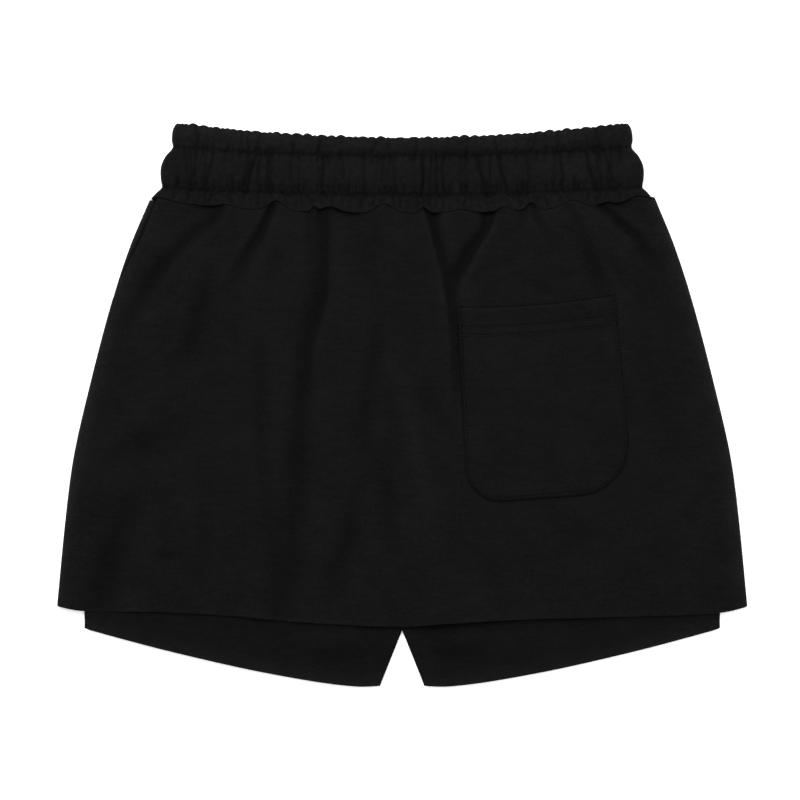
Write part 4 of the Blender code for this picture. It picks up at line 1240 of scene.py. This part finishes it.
LIP_LOW = 0.0070  # the lower edge of the back stands off what goes under it
BAND_ROLL = 0.0046
TOP_PUFF_WIDTH = (0.0026, 0.0080)  # the top edge is a chain of small puffs between notches
TOP_PUFF_SHARE = (0.12, 0.24)  # height of a puff, as a share of its width
TOP_PUFFS = 90
FIRST_NOTCH = -0.1900
LINE_PULL = 1.1  # a pucker pulls the stitch line up by this share of its depth
LINE_PULL_REACH = 0.15  # in rows
PUCKER_MEAN = 0.0006
FRONT_SHARE = 0.28  # the band's front lies flat, so its gathers are this much as deep
DEEP_GATHER = 0.0020  # painted shade: a gather this deep is painted as dark as it gets
WIDE_PLEATS = (
    # x at the upper stitch, x at the lower stitch, depth, half width, in mm
    (-136, -140, 2, 1.3), (-105, -111.5, 3.2, 1.5), (-94, -95, 1.4, 1.2), (-79, -81, 1.5, 1.4),
    (-57.7, -56.4, 2.8, 1.2), (-43, -41, 1.4, 1.5), (-27.5, -26.6, 1.8, 1.8), (-9, -11, 1.4, 1.4),
    (15.2, 14, 4, 1.2), (20.4, 20.2, 2, 1.1), (41.2, 42.5, 1.4, 1.4), (53.6, 60, 3.4, 1.4),
    (68.6, 75.2, 2.8, 1.3), (78, 66, 1, 1.4), (90.8, 90, 2, 1.2), (112.6, 116, 2.8, 1.2),
    (131, 138.8, 2.8, 1.5), (139, 142.6, 1.8, 1.2), (145.4, 152, 1.6, 1.3),
)
NARROW_PLEATS = (
    # x at the top edge, x at the upper stitch, depth, half width, in mm
    (-147.4, -147.4, 2.4, 1.2), (-140, -139.6, 1.2, 1.1), (-109, -111.5, 1.8, 1.2),
    (-101.6, -103, 2.2, 1.2), (-87, -86.5, 1, 1.2), (-75.6, -78.8, 2.2, 1.2), (-57, -60.8, 2, 1.2),
    (-38, -36, 1, 1.2), (-18.4, -21.8, 2.4, 1.2), (4, 3, 1, 1.2), (21.6, 20.8, 1.2, 1.2),
    (46.8, 46.8, 1.8, 1.2), (67.4, 67.4, 2.4, 1.3), (82, 82, 1.2, 1.2), (97.2, 91.8, 2.2, 1.2),
    (111.2, 111.2, 2.4, 1.2), (124, 124.4, 1.4, 1.2), (133, 133.4, 1.4, 1.2),
    (140.4, 140.4, 2.6, 1.2),
)
CREASE_POWER = 1.35  # 1 is a knife crease, 2 a soft trough
BAND_REACH = 0.1660
WANDER = 0.0006  # a crease wanders from its line by this much
WALL_LEAST = 0.0006
FADE = 0.25  # a crease fades in and out over this share of its channel
LEAN = 0.0013  # how much a shallow crease leans, as a rule
UNEVEN_PITCH = (0.6, 1.4)
WHOLE = ((-1.0, 2.0),)  # a crease that runs all the way, from before the top to beyond the foot
PARTLY = (*WHOLE, (-1.0, 0.45), (0.55, 2.0))  # or one that stops halfway, coming from either end
NO_PLEATS = ((-170, -170, 0, 1),)  # one of no depth, beyond the band's left end


def filled_in(pleats, pitch, depth, half, seed, runs=PARTLY):
    """The named pleats, with an uneven run of shallow ones where they leave room.

    Each row: x at its top and foot, depth, half width, the shares where it ends, and its wander."""
    draw = np.random.default_rng(seed)
    rows = [(*(value * MM for value in pleat), -1.0, 2.0, draw.uniform(0, 6)) for pleat in pleats]
    x = -BAND_REACH
    while x < BAND_REACH:
        x += pitch * draw.uniform(*UNEVEN_PITCH)
        if min(abs(x - row[0]) for row in rows) > 0.5 * pitch:
            run = runs[draw.integers(len(runs))]
            lean = draw.normal(0, LEAN)
            rows.append((x, x + lean, draw.uniform(*depth), draw.uniform(*half), *run, draw.uniform(0, 6)))
    return np.array(rows)


def creases(x, rows, share):
    """Depth at x of all creases of one channel, at a share of the way from its top to its foot."""
    depth = np.zeros_like(x)
    for top, foot, deep, half, low, high, phase in rows:
        if low - 0.1 < share < high + 0.1:
            middle = mix(top, foot, share) + WANDER * math.sin(5 * share + phase)
            fade = ease((share - low) / FADE) * ease((high - share) / FADE)
            depth += fade * deep * np.exp(-((np.abs(x - middle) / half) ** CREASE_POWER))
    return depth


wide = filled_in(WIDE_PLEATS, 0.0052, (0.0007, 0.0024), (0.0010, 0.0018), 3)
narrow = filled_in(NARROW_PLEATS, 0.0050, (0.0009, 0.0022), (0.0009, 0.0014), 5)
puckers = filled_in(NO_PLEATS, 0.0042, (0.0006, 0.0026), (0.0007, 0.0013), 8, WHOLE)
flange = filled_in(NO_PLEATS, 0.0042, (0.0006, 0.0026), (0.0008, 0.0014), 9, WHOLE)
print("gathers:", len(wide), "in the wide channel,", len(narrow), "in the narrow one")


# %% One ring round the band
STITCH_PUCKERS = (
    # row, share of the puckers' depth, half height in rows
    (1.1, 1, 0.13), (1.92, 0.8, 0.09), (2.09, 0.7, 0.1),
)
WIDE_FROM, WIDE_FADE = 0.55, 0.4  # the wide channel's creases set in over these rows
NARROW_FROM, NARROW_FADE = 1.96, 0.08  # and here the narrow channel's take over
BAND_RUCKS = {"Across": 150.0, "Down": 95.0, "Depth": 0.0013, "Sharpness": 2.0, "Seed": 6.0}
STATIONS = {"back": 620, "end": 14, "front": 200}
END_SHARE = 0.7  # an end is rounded by at most this share of the band's height
END_CALM = 0.006  # the gathers fade out over this stretch before the ends
DRAWN = 0.3  # a gather draws in the top edge and the foot by this share of its depth
TOP_FROM, TOP_ROWS = 2.6, 0.4  # the rows where that and the puffs set in toward the top edge
FOOT_ROWS = 0.3  # and those where it ends above the foot
LIP_ROWS = 0.4  # over these rows the raised lip goes over into the slit
FREE_END = 0.01
# the band is this much lighter, less the painted shade of its gathers
BAND_BASE_LIGHT = 0.25


def puffed(x):
    """Height of the small round puffs along the band's top edge."""
    draw = np.random.default_rng(12)
    notches = np.cumsum(draw.uniform(*TOP_PUFF_WIDTH, TOP_PUFFS)) + FIRST_NOTCH
    k = np.clip(np.searchsorted(notches, x) - 1, 0, len(notches) - 2)
    width = notches[k + 1] - notches[k]
    height = width * draw.uniform(*TOP_PUFF_SHARE, len(notches))[k]
    return height * (1 - (2 * (x - notches[k]) / width - 1) ** 2)


def line_shift(x, row):
    """How far the puckers pull the cloth up at the lower stitch line."""
    return LINE_PULL * float(bump(row - 1, LINE_PULL_REACH)) * (creases(x, puckers, 0.5) - PUCKER_MEAN)


def gather_depth(x, row, room):
    """How far the gathers lower the band at x, on a row from 0 to 3; `room` is the most they can."""
    in_narrow = float(ease((row - NARROW_FROM) / NARROW_FADE))
    in_wide = float(ease((row - WIDE_FROM) / WIDE_FADE) * (1 - ease((row - NARROW_FROM) / NARROW_FADE)))
    depth = in_wide * creases(x, wide, 2 - row) + in_narrow * creases(x, narrow, 3 - row)
    depth = depth + float(bumps(row, STITCH_PUCKERS)) * creases(x, puckers, 0.5)
    depth = depth + (1 - in_wide) * (1 - in_narrow) * creases(x, flange, 1 - row)
    return room * (1 - np.exp(-depth / room))


def band_y(x, row):
    names = list(WAIST_LINES)
    step = min(int(row), 2)
    return mix(waist_line(names[step], x), waist_line(names[step + 1], x), row - step)


def arched(x, row):
    """The gathers of the skirt pull up the band's foot, too."""
    return np.clip(1 - row, 0, 1) * bumps(x, SEAM_ARCHES)


def band_end(side, row, flat, roll, low, high):
    """Round one end, from the back's height `high` to the front's height `low`."""
    turn = np.linspace(0, math.pi, STATIONS["end"] + 2)[1:-1]
    x = side * (flat + roll * np.sin(turn))
    z = (low + high) / 2 + (high - low) / 2 * np.cos(turn)
    return np.stack([x, band_y(x, row) + arched(x, row) * ease(z / high), z], axis=1)


def band_ring(row, half, low, high, outside):
    """One closed ring round the band: its back, right end, front and left end. Also the painted shade of
    each point's gathers, and how free it is to ruck up. `outside` is 1, or 0 in the slit, which has no
    gathers."""
    roll = min(BAND_ROLL, (high - low) * END_SHARE)
    flat = half - roll
    x = np.linspace(-flat, flat, STATIONS["back"])
    room = high - mix(LIP_LOW, BAND_BACK_LOW, ease(row / LIP_ROWS)) - WALL_LEAST
    sink = outside * ease((flat - np.abs(x)) / END_CALM) * gather_depth(x, row, room)
    y = band_y(x, row) + arched(x, row) + outside * line_shift(x, row)
    y = y + ease((row - TOP_FROM) / TOP_ROWS) * (puffed(x) * outside - DRAWN * sink)
    back = np.stack([x, y + DRAWN * sink * (1 - ease(row / FOOT_ROWS)), high - sink], axis=1)
    across = np.linspace(flat, -flat, STATIONS["front"])
    hollow = outside * FRONT_SHARE * gather_depth(-across, row, room)
    front = np.stack([across, band_y(across, row), low + hollow], axis=1)
    right_end = band_end(1, row, flat, roll, low, high)
    left_end = band_end(-1, row, flat, roll, low, high)[::-1]
    ring = np.concatenate([back, right_end, front, left_end])
    proud, free = np.zeros((2, len(ring)))
    spare = np.clip((room - sink) / BAND_RUCKS["Depth"], 0, 1)
    # painted shade in the gathers
    proud[:len(x)] = outside * (BAND_BASE_LIGHT - sink / DEEP_GATHER)
    free[:len(x)] = outside * spare * ease((BAND_REACH - np.abs(x)) / FREE_END)
    return ring, proud, free


print("points in a ring:", STATIONS["back"] + STATIONS["front"] + 2 * STATIONS["end"])


# %% The band in one mesh
BAND_ROWS = (16, 23, 18)  # from the seam to each stitch line and the top edge
SLIT_ROWS = (
    # row, how far inside the band's half width, lowest and highest z of the slit
    (3.0, 0.0014, 0.0014, 0.0054),
    (2.9, 0.0034, 0.0036, 0.0049),
    (2.0, 0.0042, BAND_FRONT_TOP, BAND_BACK_LOW),
    (1.0, 0.0042, BAND_FRONT_TOP, BAND_BACK_LOW),
    (0.5, 0.0044, BAND_FRONT_TOP, BAND_BACK_LOW),
    (0.2, 0.0046, BAND_FRONT_TOP, LIP_LOW - 0.0004),
    (0.0, 0.0040, 0.0037, LIP_LOW),
)
# the limits of the band's painted shade and highlight
BAND_DARKEST, BAND_PALEST = -1.8, 1.5
TOP_WEAR_AND_HIGHLIGHT = 0.8  # lighter along the top edge, as rubbed wear and painted highlight
TOP_WEAR_AND_HIGHLIGHT_FROM = 2.2
LOWER_LINE_BELOW, LOWER_LINE_ABOVE = 0.16, 0.045  # half height of the lower stitch line's painted shadow, in rows
# the upper stitch line's painted shadow
UPPER_LINE, UPPER_LINE_SHADE = 0.05, 0.6
# painted highlight along the foot's curled edge
FOOT_HIGHLIGHT, FOOT_HIGHLIGHT_REACH = 0.2, 0.08


def band_shade(row):
    """The painted light of a row: painted shadow at the stitch lines, lighter along the top edge as wear and
    painted highlight, and a painted highlight at the foot.
    """
    stitch_shade = bump(row - 1.0, LOWER_LINE_ABOVE if row > 1 else LOWER_LINE_BELOW)
    stitch_shade = stitch_shade + UPPER_LINE_SHADE * bump(row - 2.0, UPPER_LINE)
    top = TOP_WEAR_AND_HIGHLIGHT * ease((row - TOP_WEAR_AND_HIGHLIGHT_FROM) / (3.0 - TOP_WEAR_AND_HIGHLIGHT_FROM))
    return top - stitch_shade + FOOT_HIGHLIGHT * bump(row, FOOT_HIGHLIGHT_REACH)


def band():
    """Rings up the outside, closest together at the stitch lines and edges, and then down the slit."""
    made = []
    for row in joined(*(part + ease(np.linspace(0, 1, count)) for part, count in enumerate(BAND_ROWS))):
        width, height = through(BAND_WIDTHS, row), through(BAND_PROFILE, row)
        ring, proud, free = band_ring(float(row), float(width), 0.0, float(height), 1.0)
        # the rows' painted shade and highlight, on top of that of the gathers
        made.append((ring, np.clip(proud + band_shade(row), BAND_DARKEST, BAND_PALEST), free))
    for row, wall, low, high in SLIT_ROWS:
        made.append(band_ring(row, float(through(BAND_WIDTHS, row)) - wall, low, high, 0.0))
    rings, proud, free = (np.array(column) for column in zip(*made))
    count, length = rings.shape[:2]
    index = np.arange(count * length).reshape(count, length)
    index = np.pad(index, ((0, 1), (0, 1)), mode="wrap")
    step = np.linalg.norm(np.diff(rings, axis=1, append=rings[:, :1]), axis=2)
    around = np.cumsum(step, axis=1) - step
    uv = np.stack([around, rings[:, :, 1]], axis=2).reshape(-1, 2)
    values = {"proud": proud, "free": free}
    return mesh_piece("waistband_cloth", rings.reshape(-1, 3), lattice_faces(index)[:, ::-1], uv, values)


waistband = made_by(rucked_cloth, band(), BAND_RUCKS | {"Material": band_material})
print("waistband:", len(waistband.data.polygons), "faces")

# %% [markdown]
# ## Sewing
#
# A lockstitch shows as a row of short threads with a gap between them, half sunk in the cloth. Two
# rows run round the waistband, one along the pocket's sides and foot, and two across its hem. The
# thread follows the cloth under it: a ray straight down finds the surface at each point of a row.


# %% Rows of stitches
def surface_under(piece):
    """A function that gives the height and the normal of a piece's top at x, y."""
    tree = BVHTree.FromPolygons(
        [vertex.co for vertex in piece.data.vertices],
        [face.vertices for face in piece.data.polygons],
    )

    def find(x, y):
        place, normal, _, _ = tree.ray_cast(Vector((x, y, 0.1)), Vector((0, 0, -1)))
        return place, normal

    return find


def path_piece(name, places, ups):
    """A line of points, each with the way its surface faces."""
    mesh = bpy.data.meshes.new(name)
    edges = [(k, k + 1) for k in range(len(places) - 1)]
    mesh.from_pydata([tuple(place) for place in places], edges, [])
    attribute = mesh.attributes.new("up", "FLOAT_VECTOR", "POINT")
    attribute.data.foreach_set("vector", np.array([tuple(up) for up in ups], dtype=np.float32).ravel())
    return put(name, mesh)


def sew(name, piece, x, y, sunk=0.0):
    """A row of stitches on a piece, along the points x, y, sunk into its cloth."""
    find = surface_under(piece)
    found = [find(*place) for place in zip(x.tolist(), y.tolist())]
    found = [(place, normal) for place, normal in found if place is not None]
    places = [place - normal * sunk for place, normal in found]
    path = path_piece(name, places, [normal for _, normal in found])
    return made_by(row_of_stitches, path, {"Material": sewing_thread})


BAND_STITCH_SUNK = 0.00022  # the elastic pulls the band's stitches deep into the cloth
BAND_STITCH_HALVES = (0.1700, 0.1620)  # half widths of the lower and the upper row
PATH_POINTS = 700


def band_row(name, row, half):
    x = np.linspace(-half, half, PATH_POINTS)
    return sew(name, waistband, x, band_y(x, row) + line_shift(x, row), BAND_STITCH_SUNK)


def pocket_row(name, across, down):
    return sew(name, back_pocket, *pocket_place(across, down))


def pocket_outline():
    """across and down along the pocket's edge stitch, from the left of its mouth to the right."""
    down = joined(
        np.linspace(0.001, POCKET_STRAIGHT, 120),
        POCKET_STRAIGHT + (POCKET_ROUND - 0.00001) * np.sin(np.linspace(0, QUARTER, 120)),
    )
    inset = 1 - POCKET_EDGE_STITCH / (POCKET_FOOT / 2)
    deeper = down * (1 - POCKET_EDGE_STITCH / POCKET_DEEP)
    left, right = pocket_reach(-1, down) * inset, pocket_reach(1, down) * inset
    return np.concatenate([-left, right[::-1]]), np.concatenate([deeper, deeper[::-1]])


across = np.linspace(-1, 1, 200) * (POCKET_MOUTH / 2 - POCKET_EDGE_STITCH)
stitches = [
    band_row("stitches_waist_lower", 1.0, BAND_STITCH_HALVES[0]),
    band_row("stitches_waist_upper", 2.0, BAND_STITCH_HALVES[1]),
    pocket_row("stitches_pocket_edge", *pocket_outline()),
]
for word, down in zip(("upper", "lower"), POCKET_HEM_ROWS):
    stitches.append(pocket_row(f"stitches_pocket_hem_{word}", across, np.full_like(across, down)))
print("stitch rows:", [(row.name, len(row.data.polygons)) for row in stitches])

# %% [markdown]
# ## Raw edges
#
# The hems of the skirt and of the shorts are cut and left. Knit doesn't unravel much, so only short
# single fibres stand out along the cut.


# %% Fibres along the hems
OUT_OF_HEM = (0.0, -1.0, 0.25)
LEG_FIBRES = (0.018, SHORTS_HEM_HALF - 0.002)  # from and to this x


def hem_fibres(name, x, y, z, seed, material):
    places = np.stack([x, y, np.broadcast_to(z, x.shape)], axis=1)
    ups = np.tile(OUT_OF_HEM, (len(x), 1))
    return made_by(frayed_edge, path_piece(name, places, ups), {"Material": material, "Seed": seed})


x = np.linspace(-1, 1, 500) * (HEM_HALF - SIDE_ROLL)
hem = skirt_hem(x)
skirt_fibres = hem_fibres("fibres_skirt_hem", x, hem, back_crown(x, hem) - CLOTH / 2, 1, skirt_material)
x = np.linspace(*LEG_FIBRES, 250)
leg_top = SHORTS_BACK_REST - SHORTS_FRONT_REST + CLOTH
leg_fibres = [
    hem_fibres(f"fibres_leg_{word}", side * x, shorts_hem(x), leg_top, 3, shorts_material)
    for side, word in LEGS
]
trims = {
    "skirt_back_cloth": [skirt_fibres],
    "back_pocket_cloth": stitches[2:],
    "waistband_cloth": stitches[:2],
    "shorts_back_left_cloth": leg_fibres[:1],
    "shorts_back_right_cloth": leg_fibres[1:],
}
sewn = [(row, "sewing_thread") for row in stitches]
sewn += [(skirt_fibres, "skirt_fleece")] + [(leg, "shorts_fleece") for leg in leg_fibres]
print("fibres:", sum(len(piece.data.polygons) for piece in [skirt_fibres, *leg_fibres]) // 4)

# %% [markdown]
# ## Put each piece on the frame
#
# Every piece rides on the one body and stands for its plain solid, which is hidden.

# %% Ride and replace
DRESSED = (
    # piece, solid it stands for, slot, flat width and length, area, how it is held, what it lies on
    (skirt_back, "skirt_back", "skirt_fleece", (0.515, 0.320), 0.142, "gathered", "shorts_back_right_cloth"),
    (skirt_front, "skirt_front", "skirt_fleece", (0.515, 0.315), 0.140, "gathered", "surface"),
    (back_pocket, "back_pocket", "pocket_fleece", (0.134, 0.172), 0.0215, "laid", "skirt_back_cloth"),
    (waistband, "waistband", "waistband_fleece", (0.860, 0.062), None, "gathered", "surface"),
)
SHORTS_FLAT = (0.235, 0.362)
SHORTS_AREA = 0.0690
dressed = list(DRESSED)
for node, piece in shorts.items():
    dressed.append((piece, node, "shorts_fleece", SHORTS_FLAT, SHORTS_AREA, "laid", "skirt_front_cloth"))
for piece, node, slot, _, _, _, _ in dressed:
    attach(piece, "root")
    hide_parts(node)
for piece, _, _, flat, area, held, lies_on in dressed:
    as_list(trims.get(piece.name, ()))
for piece, slot in sewn:
    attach(piece, "root")
print("cloth pieces:", len(dressed), "sewing and fibres:", len(sewn))

# %% [markdown]
# ## Surface, light and camera
#
# The garment lies on a white surface under very soft light from above, seen straight down. A long
# lens keeps its outline true.

# %% The stage
PIXEL = 0.0007188  # real size of one pixel of the square frame
FRAME_PIXELS = 800
AIM = Vector((-0.00158, 0.0036, 0.005))
LENS = 100.0
SENSOR = 36.0
PAPER_GLOW = 0.3  # the surface is lit from behind too, so nothing casts a shadow on it

LAMPS = (
    # name, width, power, place; each points at the middle
    ("key", 1.5, 62.0, (-0.6, 1.4, 2.0)),
    ("fill", 2.4, 42.0, (0.6, 0.3, 2.4)),
)
WHITE = (1.0, 1.0, 1.0, 1.0)
SKY = 0.5

bpy.ops.mesh.primitive_plane_add(size=8.0, location=(0, 0, -0.0002))
surface = bpy.context.object
surface.name = "surface"
paper, tree, shader = new_material("white_paper")
give(tree, shader, {"Base Color": (0.9, 0.9, 0.9, 1.0), "Roughness": 0.9})
give(tree, shader, {"Emission Color": WHITE, "Emission Strength": PAPER_GLOW})
surface.data.materials.append(paper)

for name, size, power, place in LAMPS:
    light = bpy.data.lights.new(name, "AREA")
    light.shape = "DISK"
    light.size = size
    light.energy = power
    lamp = put(name, light)
    lamp.location = place
    lamp.rotation_euler = (-Vector(place)).to_track_quat("-Z", "Y").to_euler()
world = bpy.data.worlds.new("studio")
world.use_nodes = True
give(world.node_tree, world.node_tree.nodes["Background"], {"Color": WHITE, "Strength": SKY})
bpy.context.scene.world = world
bpy.context.scene.view_settings.view_transform = "Standard"

camera = bpy.data.cameras.new("camera")
camera.lens = LENS
camera.sensor_width = SENSOR
lens = put("camera", camera)
lens.location = AIM + Vector((0, 0, PIXEL * FRAME_PIXELS * LENS / SENSOR))
bpy.context.scene.camera = lens
print("camera height, m:", round(lens.location.z, 3))
